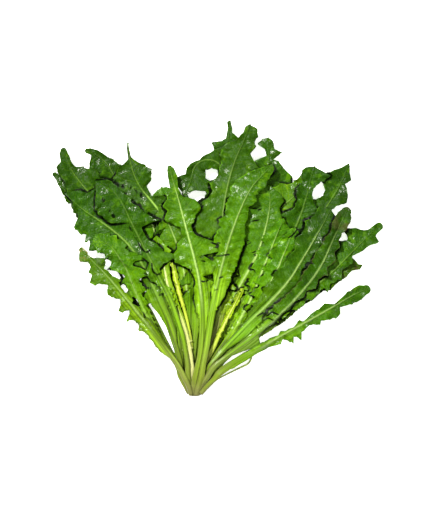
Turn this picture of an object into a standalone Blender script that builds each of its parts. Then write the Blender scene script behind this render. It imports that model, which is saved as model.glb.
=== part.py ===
"""A cut head of long-leaved chicory lying down: about forty narrow toothed
leaves fanning out from one short cut crown.

World frame: metres, +Z up.  The head lies on the plane z = 0, the crown
points to -Y and the leaves fan out to +Y.

Plan units: every leaf is laid out in a plan seen from above, x to the right
and y down toward the crown.  One plan unit is UNIT metres.
"""

import math

import bmesh
import bpy
import numpy as np

# ---------------------------------------------------------------- dimensions
UNIT = 0.0013  # metres in one plan unit
PLAN_CENTRE = (217.7, 257.8)  # plan point that lies over the world origin
MM = 0.001 / UNIT  # one millimetre in plan units

CROWN = (194.5, 391.5)  # plan centre that the petioles run out from
START_R = 8.5  # plan radius at which the petioles begin
FAN_STEP = math.radians(22)  # least angle between two petioles of one layer there
LAYER_PITCH = 3.7 * MM  # height between two layers of petioles at the crown

PETIOLE_T = 3.0 * MM  # thickness of a petiole
RIB_T = 2.4 * MM  # thickness of the blade on its midrib
BLADE_T = 1.3 * MM  # thickness of the blade at its margin
GAP = 0.55 * MM  # air left under every leaf

CORE_RADIUS = 0.0081  # of the stem end, seen from above
CORE_HEIGHT = 0.0230
CORE_CUT = 0.0042  # from the fan's centre to the cut face
CORE_LIFT = 0.0006  # of its lowest point above the surface

STALK_RADIUS = 0.0013

CELL = 0.35  # plan units in one cell of the height map
MAP_X0, MAP_Y0, MAP_X1, MAP_Y1 = 30, 100, 410, 410
ACROSS = (-1.0, -0.42, 0.0, 0.42, 1.0)  # columns of the leaf cage, in half widths

# ------------------------------------------------------------- table of leaves
# name, layer (0 is lowest), column at the crown (0 is left),
# midrib in plan from above the crown to the tip,
# half widths as (share of the length, left, right) in plan units,
# height wanted at mid length and at the tip in millimetres, kind
LEAVES = [
    # lowest layer: six flat leaves on the surface, covered by the others
    ("under_leaf_1", 0, 0, [(181, 370), (160, 340), (138, 305), (121, 275), (110, 256)],
     [(0, 2, 2), (.35, 2.8, 2.8), (.5, 6, 6), (.75, 11, 12), (.92, 8, 8), (1, 2, 2)], 0, 0, "green"),
    ("under_leaf_2", 0, 1, [(185, 368), (167, 320), (148, 265), (131, 215), (122, 192)],
     [(0, 2, 2), (.35, 2.8, 2.8), (.5, 6, 6), (.75, 14, 14), (.92, 11, 11), (1, 3, 3)], 0, 0, "green"),
    ("under_leaf_3", 0, 2, [(191, 366), (185, 310), (176, 250), (167, 205), (161, 187)],
     [(0, 2, 2), (.35, 2.8, 2.8), (.5, 6, 6), (.75, 13, 14), (.92, 10, 10), (1, 3, 3)], 0, 0, "green"),
    ("under_leaf_4", 0, 3, [(198, 366), (204, 300), (212, 245), (220, 205), (225, 186)],
     [(0, 2, 2), (.35, 2.8, 2.8), (.5, 6, 6), (.75, 13, 14), (.92, 10, 10), (1, 3, 3)], 0, 0, "green"),
    ("under_leaf_5", 0, 4, [(205, 366), (226, 310), (252, 255), (276, 212), (290, 190)],
     [(0, 2, 2), (.35, 2.8, 2.8), (.5, 6, 6), (.75, 14, 14), (.92, 11, 11), (1, 3, 3)], 0, 0, "green"),
    ("under_leaf_6", 0, 5, [(212, 368), (243, 332), (280, 296), (312, 267), (334, 247)],
     [(0, 2, 2), (.35, 2.8, 2.8), (.5, 6, 6), (.75, 12, 12), (.92, 9, 9), (1, 3, 3)], 0, 0, "green"),
    # second layer
    ("left_outer_slim_leaf", 1, 0, [(180, 368), (152, 312), (120, 262), (92, 225), (73, 201), (61, 184), (54, 173)],
     [(0, 2, 2), (.4, 2.6, 2.6), (.55, 5, 5), (.72, 9, 9), (.86, 6, 6), (.94, 3, 3), (1, 1.2, 1.2)], 9, 8, "dark"),
    ("left_curled_leaf", 1, 1, [(186, 366), (172, 322), (152, 272), (133, 224), (120, 186), (109, 165), (97, 155), (86, 151)],
     [(0, 2, 2), (.38, 2.8, 2.8), (.52, 6, 6), (.7, 12, 12), (.85, 11, 10), (.94, 6, 5), (1, 1.5, 1.5)], 10, 16, "dark"),
    ("centre_rib_leaf", 1, 2, [(195, 366), (203, 332), (207, 308), (210, 285), (212, 258), (211, 233), (207, 213), (202, 198)],
     [(0, 2, 2), (.3, 3, 3), (.5, 6, 6), (.75, 11, 11), (.92, 8, 8), (1, 2, 2)], 9, 9, "green"),
    ("top_dark_leaf", 1, 3, [(199, 366), (206, 320), (214, 260), (221, 205), (226, 165), (228, 142), (230, 121)],
     [(0, 2, 2), (.38, 2.8, 2.8), (.52, 6, 6), (.68, 13, 13), (.84, 13, 9), (.9, 14, 7), (.94, 3.5, 3.5), (1, 1.6, 1.6)], 9, 12, "dark"),
    ("top_right_narrow_leaf", 1, 4, [(205, 365), (216, 320), (233, 265), (250, 215), (262, 186), (269, 168), (268, 153), (268, 138)],
     [(0, 2, 2), (.38, 2.8, 2.8), (.52, 6, 6), (.7, 13, 13), (.85, 10, 15), (.93, 4, 5), (1, 1.5, 1.5)], 9, 14, "dark"),
    ("far_top_right_leaf", 1, 5, [(212, 367), (240, 325), (270, 284), (290, 258), (305, 238), (317, 220), (328, 204), (338, 188), (344, 176), (348, 164)],
     [(0, 2, 2), (.42, 2.8, 2.8), (.55, 6, 6), (.72, 11, 11), (.86, 12, 9), (.95, 9, 6), (1, 2, 2)], 8, 12, "dark"),
    # third layer
    ("left_upper_leaf", 2, 0, [(181, 366), (165, 318), (145, 270), (120, 226), (100, 204), (87, 190), (73, 172), (64, 149)],
     [(0, 2, 2), (.4, 2.8, 2.8), (.52, 6, 6), (.68, 12, 12), (.84, 10, 14), (.93, 5, 6), (1, 1.8, 1.8)], 13, 20, "dark"),
    ("left_pale_rib_leaf", 2, 1, [(187, 366), (184, 335), (176, 295), (165, 262), (158, 243), (154, 228), (150, 215), (144, 199), (140, 188)],
     [(0, 2, 2), (.35, 3, 3), (.5, 7, 7), (.75, 13, 13), (.92, 11, 12), (1, 3, 3)], 12, 14, "green"),
    ("folded_leaf", 2, 2, [(194, 366), (203, 312), (212, 256), (220, 214), (226, 190), (226, 172), (216, 161), (203, 160), (194, 167), (192, 179), (188, 190), (184, 199)],
     [(0, 2, 2), (.33, 2.8, 2.8), (.45, 6, 6), (.6, 10, 9), (.7, 8, 7), (.8, 5, 5), (.86, 8, 7), (.93, 10, 8), (.97, 7, 6), (1, 1.5, 1.2)], 13, 18, "dark"),
    ("right_inner_leaf", 2, 3, [(201, 366), (226, 315), (248, 267), (263, 234), (275, 213), (286, 203), (297, 194), (304, 182), (303, 171)],
     [(0, 2, 2), (.35, 2.8, 2.8), (.48, 7, 7), (.65, 12, 13), (.82, 13, 12), (.93, 10, 8), (1, 3, 3)], 12, 16, "green"),
    ("ragged_top_leaf", 2, 4, [(207, 365), (234, 317), (260, 278), (279, 252), (292, 234), (300, 216), (305, 200), (309, 182), (314, 167)],
     [(0, 2, 2), (.4, 2.8, 2.8), (.52, 7, 7), (.68, 12, 12), (.84, 11, 13), (.94, 10, 12), (1, 5, 5)], 12, 18, "dark"),
    ("right_hidden_rib_leaf", 2, 5, [(213, 366), (241, 328), (275, 288), (300, 263), (315, 246), (326, 230), (333, 214)],
     [(0, 2, 2), (.4, 2.8, 2.8), (.55, 7, 7), (.75, 12, 12), (.92, 9, 9), (1, 3, 3)], 11, 13, "green"),
    # fourth layer
    ("left_needle_leaf", 3, 0, [(182, 366), (180, 330), (176, 285), (171, 240), (162, 214), (151, 200), (142, 190), (135, 177), (131, 162), (129, 144)],
     [(0, 2, 2), (.35, 2.8, 2.8), (.5, 7, 7), (.66, 10, 10), (.76, 14, 12), (.84, 14, 16), (.9, 8, 12), (.94, 2.6, 3.5), (1, .9, .9)], 18, 26, "dark"),
    ("left_mid_leaf", 3, 1, [(189, 366), (191, 330), (188, 296), (184, 268), (177, 243), (169, 223), (160, 205)],
     [(0, 2, 2), (.35, 3, 3), (.5, 5, 5), (.68, 10, 9), (.85, 12, 10), (1, 2, 2)], 18, 22, "green"),
    ("mid_small_leaf", 3, 2, [(193, 366), (196, 330), (196, 290), (194, 258), (200, 232), (209, 220), (218, 209)],
     [(0, 2, 2), (.35, 2.8, 2.8), (.5, 6, 6), (.75, 10, 10), (.92, 7, 7), (1, 2, 2)], 20, 24, "dark"),
    ("centre_right_leaf", 3, 3, [(202, 365), (221, 320), (240, 285), (256, 256), (262, 240), (267, 221), (270, 203), (268, 186)],
     [(0, 2, 2), (.33, 2.8, 2.8), (.48, 5, 5), (.62, 13, 12), (.74, 15, 13), (.88, 13, 12), (1, 2.5, 2.5)], 17, 22, "green"),
    ("right_curled_leaf", 3, 4, [(209, 368), (232, 352), (268, 328), (298, 306), (314, 293), (330, 280), (346, 270), (362, 265)],
     [(0, 2, 2), (.4, 2.8, 2.8), (.55, 7, 6), (.75, 9, 9), (.9, 6, 8), (1, 1.5, 1.5)], 13, 8, "purple"),
    ("right_side_leaf", 3, 5, [(214, 369), (238, 346), (272, 316), (302, 288), (322, 266), (338, 250), (352, 240)],
     [(0, 2, 2), (.4, 2.8, 2.8), (.55, 6, 6), (.75, 10, 10), (.92, 8, 8), (1, 2, 2)], 12, 10, "green"),
    # fifth layer
    ("left_big_leaf", 4, 0, [(182, 367), (178, 352), (168, 320), (158, 296), (150, 278), (142, 262), (134, 250), (124, 239), (112, 229), (102, 222), (90, 214), (80, 207), (66, 194)],
     [(0, 2, 2), (.3, 2.8, 2.8), (.45, 5, 5), (.58, 9, 11), (.72, 12, 15), (.84, 12, 15), (.93, 8, 12), (1, 2, 2)], 21, 15, "dark"),
    ("lime_streak_leaf", 4, 1, [(188, 366), (192, 345), (188, 322), (183, 303), (178, 288), (175, 274), (173, 262), (170, 247)],
     [(0, 2, 2), (.35, 2.6, 2.6), (.55, 3.2, 3.6), (.75, 4.6, 6), (.88, 5, 6), (1, 2, 2)], 20, 22, "heart"),
    ("centre_violet_leaf", 4, 2, [(196, 366), (208, 346), (215, 328), (220, 306), (224, 285), (229, 265), (233, 248), (235, 230)],
     [(0, 2, 2), (.25, 3.4, 3.4), (.55, 4.4, 4.4), (.75, 8, 8), (.9, 8, 8), (1, 2, 2)], 19, 20, "violet"),
    ("heart_leaf", 4, 3, [(202, 366), (212, 350), (220, 332), (228, 316), (236, 301), (243, 288)],
     [(0, 2, 2), (.3, 2.6, 2.6), (.45, 3.2, 2.8), (.62, 4.5, 3.4), (.78, 6.5, 5), (.9, 6, 5), (1, 2, 2)], 20, 20, "heart"),
    ("right_broad_leaf", 4, 4, [(208, 367), (219, 352), (233, 332), (250, 300), (257, 284), (264, 265), (270, 250), (276, 235), (283, 219)],
     [(0, 2, 2), (.2, 3.5, 3.5), (.44, 4.4, 4.4), (.58, 6, 8), (.72, 10, 12), (.9, 12, 12), (1, 2, 2)], 20, 22, "green"),
    ("right_second_leaf", 4, 5, [(214, 368), (228, 350), (244, 328), (260, 299), (270, 282), (277, 269), (283, 254), (289, 240), (294, 228)],
     [(0, 2, 2), (.25, 3.2, 3.2), (.42, 4.5, 4.5), (.55, 9, 10), (.7, 13, 14), (.9, 12, 12), (1, 2, 2)], 19, 22, "green"),
    # sixth layer
    ("left_low_leaf", 5, 0, [(181, 366), (165, 346), (149, 318), (137, 294), (126, 266), (113, 246), (94, 237)],
     [(0, 2, 2), (.35, 2.8, 2.8), (.5, 5, 5), (.66, 10, 11), (.82, 15, 14), (.93, 12, 10), (1, 3, 3)], 18, 8, "green"),
    ("winged_stalk_leaf", 5, 2, [(191, 366), (188, 346), (182, 325), (174, 303), (168, 285), (165, 268), (162, 250), (157, 236)],
     [(0, 2.4, 2.4), (.2, 4, 4), (.45, 5, 5), (.62, 7, 5.5), (.8, 10, 6), (.92, 8, 6), (1, 3, 3)], 19, 18, "pale"),
    ("left_over_leaf", 5, 1, [(189, 366), (184, 338), (172, 301), (158, 273), (146, 250), (137, 232), (131, 220), (125, 206), (117, 194), (107, 186), (97, 181)],
     [(0, 2, 2), (.35, 3, 3), (.48, 5, 6), (.6, 7, 12), (.7, 9, 13), (.8, 17, 14), (.9, 13, 9), (1, 2, 2)], 21, 24, "dark"),
    ("big_top_leaf", 5, 3, [(202, 365), (208, 335), (215, 300), (220, 265), (222, 240), (222, 220), (225, 198), (230, 176), (236, 158), (243, 144), (250, 126)],
     [(0, 2, 2), (.3, 3, 3), (.45, 3.8, 3.8), (.53, 8, 9), (.64, 11, 12), (.76, 12, 15), (.86, 14, 14), (.92, 8, 9), (.97, 6.5, 7), (1, 3.5, 3.5)], 28, 29, "green"),
    ("right_long_leaf", 5, 4, [(208, 366), (226, 345), (246, 324), (267, 304), (281, 289), (291, 276), (299, 263), (307, 250), (315, 236), (322, 224), (330, 209)],
     [(0, 2, 2), (.3, 3, 3), (.4, 4, 4.5), (.52, 8, 10), (.65, 11, 14), (.85, 11, 14), (.95, 8, 8), (1, 2.5, 2.5)], 26, 24, "green"),
    ("far_right_leaf", 5, 5, [(214, 369), (230, 352), (263, 325), (300, 298), (330, 273), (351, 252), (366, 237), (381, 224)],
     [(0, 2, 2), (.35, 2.8, 2.8), (.5, 6, 6), (.68, 10, 10), (.84, 12, 10), (.94, 8, 5), (1, 2, 2)], 19, 12, "dark"),
    # top layer
    ("far_left_leaf", 6, 0, [(180, 365), (165, 346), (145, 320), (127, 298), (109, 277), (92, 260), (80, 248)],
     [(0, 2, 2), (.3, 2.8, 2.8), (.42, 5, 3.5), (.6, 9, 6), (.78, 10, 8), (.9, 9, 7), (1, 2, 2)], 13, 4, "brown_tip"),
    ("front_left_leaf", 6, 1, [(198, 366), (202, 345), (203, 320), (202, 300), (199, 276), (193, 252), (187, 230), (179, 200), (173, 180), (170, 167)],
     [(0, 2.4, 2.4), (.3, 3.2, 3.2), (.44, 5, 5), (.54, 8, 9), (.6, 14, 14), (.68, 13, 12), (.78, 15, 15), (.87, 8, 8), (.93, 4.5, 4.5), (1, 1.5, 1.5)], 34, 34, "green"),
    ("front_centre_leaf", 6, 2, [(203, 366), (207, 344), (211, 318), (217, 285), (223, 261), (229, 240), (236, 220), (244, 201), (251, 188), (262, 176), (272, 166)],
     [(0, 2.4, 2.4), (.3, 3.2, 3.2), (.47, 4.4, 5), (.55, 9, 11), (.62, 14, 14), (.75, 15, 13), (.88, 12, 10), (.96, 6, 5), (1, 2, 2)], 34, 32, "green"),
    ("front_right_leaf", 6, 4, [(209, 368), (226, 355), (250, 338), (272, 320), (293, 300), (311, 279), (322, 262), (330, 243), (339, 224), (347, 208)],
     [(0, 2, 2), (.28, 3, 3), (.38, 4, 4), (.5, 8, 10), (.65, 10, 13), (.78, 10, 12), (.85, 7, 8), (.93, 8, 8), (1, 4, 4)], 30, 24, "purple"),
    ("low_right_leaf", 6, 5, [(214, 372), (225, 366), (238, 359), (254, 350), (270, 341), (290, 330), (312, 318), (330, 308), (347, 298), (358, 292), (370, 288)],
     [(0, 2, 2), (.25, 2.8, 2.8), (.4, 5, 6), (.55, 9, 8), (.68, 11, 10), (.78, 9, 9), (.86, 6, 7), (.95, 6, 6), (1, 3, 3)], 11, 5, "green"),
]

STALK = [(214.5, 380.5), (225, 375), (237, 369), (247.5, 364), (250, 361), (251.5, 356.5)]

# colour, roughness of each kind of leaf
KINDS = {
    "green": ((0.075, 0.27, 0.010), 0.38),
    "dark": ((0.035, 0.17, 0.008), 0.38),
    "heart": ((0.62, 0.75, 0.10), 0.40),
    "pale": ((0.30, 0.50, 0.06), 0.40),
    "violet": ((0.17, 0.28, 0.05), 0.42),
    "purple": ((0.06, 0.18, 0.03), 0.36),
    "brown_tip": ((0.07, 0.23, 0.012), 0.42),
    "core": ((0.42, 0.40, 0.22), 0.60),
    "stalk": ((0.45, 0.58, 0.12), 0.45),
}


# ------------------------------------------------------------ plan geometry
def aim(points):
    """The angle from straight up in plan of the way from the crown to the first point."""
    return math.atan2(points[0][0] - CROWN[0], CROWN[1] - points[0][1])


def start_angles():
    """For each leaf the angle at which it leaves the crown, spread within its layer."""
    out = {}
    for layer in sorted({leaf[1] for leaf in LEAVES}):
        row = sorted((leaf for leaf in LEAVES if leaf[1] == layer), key=lambda leaf: leaf[2])
        angles = [aim(leaf[3]) for leaf in row]
        for _ in range(200):
            for k in range(len(row) - 1):
                short = FAN_STEP - (angles[k + 1] - angles[k])
                if short > 0:
                    angles[k] -= short / 2
                    angles[k + 1] += short / 2
        for leaf, angle in zip(row, angles):
            out[leaf[0]] = angle
    return out


def crown_points(leaf, angles):
    """The way of one petiole out of the crown, from its lower end."""
    start, end = angles[leaf[0]], aim(leaf[3])
    return [
        (CROWN[0] + r * math.sin(a), CROWN[1] - r * math.cos(a))
        for r, a in (
            (START_R, start),
            (START_R + 4, start * 0.95 + end * 0.05),
            (START_R + 10, start * 0.65 + end * 0.35),
        )
    ]


def spine_of(points, step=2.0, rounds=10):
    """A smooth line through the given points: (positions, arc lengths)."""
    raw = np.array(points, float)
    runs = np.hypot(*np.diff(raw, axis=0).T)
    along = np.concatenate([[0], np.cumsum(runs)])
    count = int(round(along[-1] / step)) + 1
    at = np.linspace(0, along[-1], count)
    line = np.column_stack([np.interp(at, along, raw[:, k]) for k in (0, 1)])
    for _ in range(rounds):
        line[1:-1] = 0.25 * line[:-2] + 0.5 * line[1:-1] + 0.25 * line[2:]
    runs = np.hypot(*np.diff(line, axis=0).T)
    return line, np.concatenate([[0], np.cumsum(runs)])


def on_spine(line, along, s):
    """Positions and left-hand normals at arc lengths s."""
    s = np.asarray(s, float)
    here = np.column_stack([np.interp(s, along, line[:, k]) for k in (0, 1)])
    ahead = np.column_stack([np.interp(s + 3, along, line[:, k]) for k in (0, 1)])
    behind = np.column_stack([np.interp(s - 3, along, line[:, k]) for k in (0, 1)])
    way = ahead - behind
    way /= np.maximum(np.hypot(way[:, 0], way[:, 1]), 1e-9)[:, None]
    # plan y points down, so the left-hand side of a way (a, b) is (b, -a)
    return here, np.column_stack([way[:, 1], -way[:, 0]])


def half_widths(table, share):
    rows = np.array(table, float)
    return np.interp(share, rows[:, 0], rows[:, 1]), np.interp(
        share, rows[:, 0], rows[:, 2]
    )


def stations_of(length, table):
    """Arc lengths of the cage's cross sections, and the lobe factors there."""
    rows = np.array(table, float)
    start = length * float(np.interp(4.5, rows[: rows[:, 1].argmax() + 1, 1],
                                     rows[: rows[:, 1].argmax() + 1, 0]))
    stem = [s for s in (0.0, 8.0, 20.0, 40.0, 64.0) if s < start - 8]
    blade = max(5, int(round((length - start) / 12.5)))
    s = np.concatenate([stem, np.linspace(start, length, blade + 1)])
    left, right = np.ones(len(s)), np.ones(len(s))
    for i in range(len(stem) + 1, len(s) - 1):
        if i % 2:
            left[i], right[i] = 1.10, 0.70
        else:
            left[i], right[i] = 0.70, 1.10
    return s, left, right


def cage_of(leaf, angles):
    """The coarse sheet of one leaf in plan: (stations, 5, 2) positions, thickness."""
    _, layer, column, points, table, mid, tip, kind = leaf
    line, along = spine_of(crown_points(leaf, angles) + points)
    s, fl, fr = stations_of(along[-1], table)
    left, right = half_widths(table, s / along[-1])
    # the petiole narrows to its lower end
    neck = np.clip(0.42 + 0.58 * s / 12.0, 0, 1)
    left, right = left * fl * neck, right * fr * neck
    here, normal = on_spine(line, along, s)
    wide = np.maximum(left, right)
    sheet = np.empty((len(s), len(ACROSS), 2))
    for j, a in enumerate(ACROSS):
        half = left if a > 0 else right
        sheet[:, j] = here + normal * (a * half)[:, None]
    blade = np.clip((wide - 3.4) / 4.0, 0, 1)
    thick = np.empty((len(s), len(ACROSS)))
    for j, a in enumerate(ACROSS):
        rib = RIB_T + (PETIOLE_T - RIB_T) * (1 - blade)
        edge = BLADE_T + (PETIOLE_T * 0.86 - BLADE_T) * (1 - blade)
        mix = (0.0, 0.75, 1.0)[int(round(abs(a) / 0.5))] if abs(a) > 0 else 0.0
        thick[:, j] = rib + (edge - rib) * mix
    thick *= np.clip(0.72 + 0.28 * s / 12.0, 0, 1)[:, None]
    return sheet, thick, s, along[-1], wide, line, along


def cage_faces(rows, cols=len(ACROSS)):
    """The triangles of a cage whose vertices run row by row."""
    faces = []
    for i in range(rows - 1):
        for j in range(cols - 1):
            a, b = i * cols + j, i * cols + j + 1
            c, d = (i + 1) * cols + j + 1, (i + 1) * cols + j
            faces += [(a, b, c), (a, c, d)]
    return np.array(faces)


# -------------------------------------------------------- laying on each other
MAP_SHAPE = (int((MAP_Y1 - MAP_Y0) / CELL), int((MAP_X1 - MAP_X0) / CELL))


def footprint(plan, faces):
    """Cells of the height map under each triangle, with the corners' weights."""
    cells, corners, weights = [], [], []
    grid = (plan - (MAP_X0, MAP_Y0)) / CELL - 0.5
    for face in faces:
        p = grid[list(face)]
        c0, r0 = np.floor(p.min(axis=0)).astype(int)
        c1, r1 = np.ceil(p.max(axis=0)).astype(int)
        cc, rr = np.meshgrid(np.arange(c0, c1 + 1), np.arange(r0, r1 + 1))
        cc, rr = cc.ravel(), rr.ravel()
        ax, ay = p[1] - p[0]
        bx, by = p[2] - p[0]
        det = ax * by - ay * bx
        if abs(det) < 1e-9:
            continue
        qx, qy = cc - p[0, 0], rr - p[0, 1]
        w1 = (qx * by - qy * bx) / det
        w2 = (qy * ax - qx * ay) / det
        w0 = 1 - w1 - w2
        # half a cell outside the triangle still counts
        slack = 0.5 * max(np.hypot(ax, ay), np.hypot(bx, by), np.hypot(ax - bx, ay - by)) / abs(det)
        inside = (w0 > -slack) & (w1 > -slack) & (w2 > -slack)
        if not inside.any():
            continue
        w = np.clip(np.column_stack([w0, w1, w2])[inside], 0, 1)
        w /= w.sum(axis=1, keepdims=True)
        cells.append(rr[inside] * MAP_SHAPE[1] + cc[inside])
        corners.append(np.repeat([face], inside.sum(), axis=0))
        weights.append(w)
    return np.concatenate(cells), np.concatenate(corners), np.concatenate(weights)


def sheet_normals(points, faces):
    """Vertex normals of a sheet, each face weighted by its corner's angle."""
    out = np.zeros_like(points)
    a, b, c = (points[faces[:, k]] for k in range(3))
    n = np.cross(b - a, c - a)
    n /= np.maximum(np.linalg.norm(n, axis=1), 1e-12)[:, None]
    for k in range(3):
        p = points[faces[:, k]]
        q, r = points[faces[:, (k + 1) % 3]] - p, points[faces[:, (k + 2) % 3]] - p
        q /= np.maximum(np.linalg.norm(q, axis=1), 1e-12)[:, None]
        r /= np.maximum(np.linalg.norm(r, axis=1), 1e-12)[:, None]
        angle = np.arccos(np.clip((q * r).sum(axis=1), -1, 1))
        np.add.at(out, faces[:, k], n * angle[:, None])
    out /= np.maximum(np.linalg.norm(out, axis=1), 1e-12)[:, None]
    return out


def wanted_heights(leaf, s, length, cols):
    """The height a leaf would take with nothing under it, in plan units."""
    _, layer, _, _, _, mid, tip, _ = leaf
    base = layer * LAYER_PITCH
    share = s / length
    z = np.interp(
        share,
        [0, 0.10, 0.35, 0.68, 1.0],
        [base, base, base + (mid * MM - base) * 0.55, mid * MM, tip * MM],
    )
    return np.repeat(z[:, None], cols, axis=1)


def lay(leaf, top, angles):
    """The heights of one leaf's underside on the height map, and the map after it."""
    sheet, thick, s, length, wide, line, along = cage_of(leaf, angles)
    rows, cols = sheet.shape[:2]
    faces = cage_faces(rows, cols)
    wanted = wanted_heights(leaf, s, length, cols)
    plan = sheet.reshape(-1, 2)
    if leaf[1] == 0:
        z = np.zeros((rows, cols))
    else:
        # a slightly wider print keeps the sides clear as well
        middle = sheet[:, [2]]
        out = sheet - middle
        reach = np.maximum(np.hypot(out[..., 0], out[..., 1]), 1e-6)[..., None]
        print_plan = (middle + out * (1 + 0.2 / reach)).reshape(-1, 2)
        cells, corners, weights = footprint(print_plan, faces)
        floor = top.ravel()[cells] + GAP
        share = weights / (weights ** 2).sum(axis=1, keepdims=True)
        stiff = np.clip((6.5 - wide) / 3.0, 0, 1)[:, None]
        z = wanted.copy()

        def push(z):
            flat = z.reshape(-1).copy()
            short = floor - (flat[corners] * weights).sum(axis=1)
            low = short > 0
            if not low.any():
                return z, 0.0
            rise = np.zeros_like(flat)
            for k in range(3):
                np.maximum.at(rise, corners[low, k], (short * share[:, k])[low])
            return (flat + rise).reshape(z.shape), float(short.max())

        for _ in range(70):
            soft = z.copy()
            soft[1:-1] = 0.25 * z[:-2] + 0.5 * z[1:-1] + 0.25 * z[2:]
            across = soft.copy()
            across[:, 1:-1] = 0.25 * soft[:, :-2] + 0.5 * soft[:, 1:-1] + 0.25 * soft[:, 2:]
            level = soft.mean(axis=1, keepdims=True)
            soft = across * (1 - stiff) + level * stiff
            z, _ = push(0.93 * soft + 0.07 * wanted)
        level = z.max(axis=1, keepdims=True)
        z = z * (1 - stiff) + level * stiff
        for _ in range(30):
            z, _ = push(z)
        flat = z.reshape(-1).copy()
        short = floor - (flat[corners] * weights).sum(axis=1)
        rise = np.zeros_like(flat)
        for k in range(3):
            np.maximum.at(rise, corners[:, k], np.maximum(short, 0))
        z = (flat + rise).reshape(z.shape)
    # world-like points, y up, so that the sheet's normals point to +Z
    points = np.column_stack([plan[:, 0], -plan[:, 1], z.reshape(-1)])
    normals = sheet_normals(points, faces)
    if normals[:, 2].mean() < 0:
        normals = -normals
    upper = points + normals * thick.reshape(-1)[:, None]
    cells, corners, weights = footprint(np.column_stack([upper[:, 0], -upper[:, 1]]), faces)
    high = (upper[:, 2][corners] * weights).sum(axis=1)
    mine = np.full(MAP_SHAPE[0] * MAP_SHAPE[1], -1.0)
    np.maximum.at(mine, cells, high)
    mine = mine.reshape(MAP_SHAPE)
    spread = mine.copy()
    for dr, dc in ((0, 1), (0, -1), (1, 0), (-1, 0)):
        spread = np.maximum(spread, np.roll(mine, (dr, dc), axis=(0, 1)))
    return z, np.maximum(top, spread)


def laid_leaves():
    """Every leaf with its cage and heights, from the lowest up."""
    top = np.zeros(MAP_SHAPE)
    angles = start_angles()
    done = []
    for leaf in LEAVES:
        z, top = lay(leaf, top, angles)
        sheet, thick, s, length, wide, line, along = cage_of(leaf, angles)
        done.append((leaf, sheet, z, thick))
    return done


def to_world(plan_x, plan_y, z):
    return (
        (plan_x - PLAN_CENTRE[0]) * UNIT,
        (PLAN_CENTRE[1] - plan_y) * UNIT,
        z * UNIT,
    )


# ------------------------------------------------------------------- objects
def material_of(name, kind, shift=0.0):
    colour, rough = KINDS[kind]
    made = bpy.data.materials.new(name)
    made.use_nodes = True
    shader = made.node_tree.nodes["Principled BSDF"]
    tint = [min(1.0, c * (1 + shift)) for c in colour]
    shader.inputs["Base Color"].default_value = (*tint, 1)
    shader.inputs["Roughness"].default_value = rough
    shader.inputs["Metallic"].default_value = 0.0
    made.diffuse_color = (*tint, 1)
    return made


def leaf_object(name, sheet, z, thick, kind, index, home):
    rows, cols = z.shape
    bm = bmesh.new()
    bmesh.ops.create_grid(bm, x_segments=cols - 1, y_segments=rows - 1, size=0.5)
    group = bm.verts.layers.deform.verify()
    # the grid's vertices sorted row by row, then moved onto the leaf
    order = sorted(bm.verts, key=lambda v: (round(v.co.y, 6), round(v.co.x, 6)))
    most = float(max(PETIOLE_T, RIB_T))
    for k, vert in enumerate(order):
        i, j = divmod(k, cols)
        vert.co = to_world(sheet[i, j, 0], sheet[i, j, 1], z[i, j])
        vert[group][0] = float(thick[i, j] / most)
    # each quad is split from its lower right to its upper left corner
    slot = {vert: k for k, vert in enumerate(order)}
    for face in list(bm.faces):
        corners = sorted(face.verts, key=lambda v: slot[v])
        bmesh.utils.face_split(face, corners[0], corners[3])
    bm.normal_update()
    if sum(face.normal.z * face.calc_area() for face in bm.faces) < 0:
        bmesh.ops.reverse_faces(bm, faces=bm.faces)
    mesh = bpy.data.meshes.new(name)
    bm.to_mesh(mesh)
    bm.free()
    mesh.shade_smooth()
    obj = bpy.data.objects.new(name, mesh)
    home.objects.link(obj)
    obj.vertex_groups.new(name="thickness")
    shell = obj.modifiers.new("Shell", "SOLIDIFY")
    shell.thickness = most * UNIT
    shell.offset = 1.0
    shell.vertex_group = "thickness"
    shell.use_even_offset = False
    mesh.materials.append(material_of(name, kind, ((index * 7) % 5 - 2) * 0.06))
    return obj


def core_object(home):
    """The short stem end that the petioles run out from, cut flat toward -Y."""
    bm = bmesh.new()
    bmesh.ops.create_uvsphere(bm, u_segments=24, v_segments=14, radius=1.0)
    for vert in bm.verts:
        x, y, z = vert.co
        # the lower half is stretched into a stub that narrows to its flat cut
        if z < 0:
            side = math.hypot(x, y)
            wide = 1.0 - 0.14 * min(1.0, -z / 0.6)
            keep = min(side, 1.0) / max(side, 1e-9)
            z = max(z * 1.4, -1.0)
            if z > -1.0:
                x, y = x / max(side, 1e-9) * wide, y / max(side, 1e-9) * wide
            else:
                x, y = x * keep * 0.8, y * keep * 0.8
            z *= CORE_CUT
        else:
            z *= CORE_RADIUS
        vert.co = (x * CORE_RADIUS, z, y * CORE_HEIGHT / 2)
    if bm.calc_volume(signed=True) < 0:
        bmesh.ops.reverse_faces(bm, faces=bm.faces)
    mesh = bpy.data.meshes.new("stem_core")
    bm.to_mesh(mesh)
    bm.free()
    mesh.shade_smooth()
    mesh.set_sharp_from_angle(angle=math.radians(40))
    obj = bpy.data.objects.new("stem_core", mesh)
    home.objects.link(obj)
    x, y, _ = to_world(CROWN[0], CROWN[1], 0)
    obj.location = (x, y, CORE_HEIGHT / 2 + CORE_LIFT)
    mesh.materials.append(material_of("stem_core", "core"))
    return obj


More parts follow.
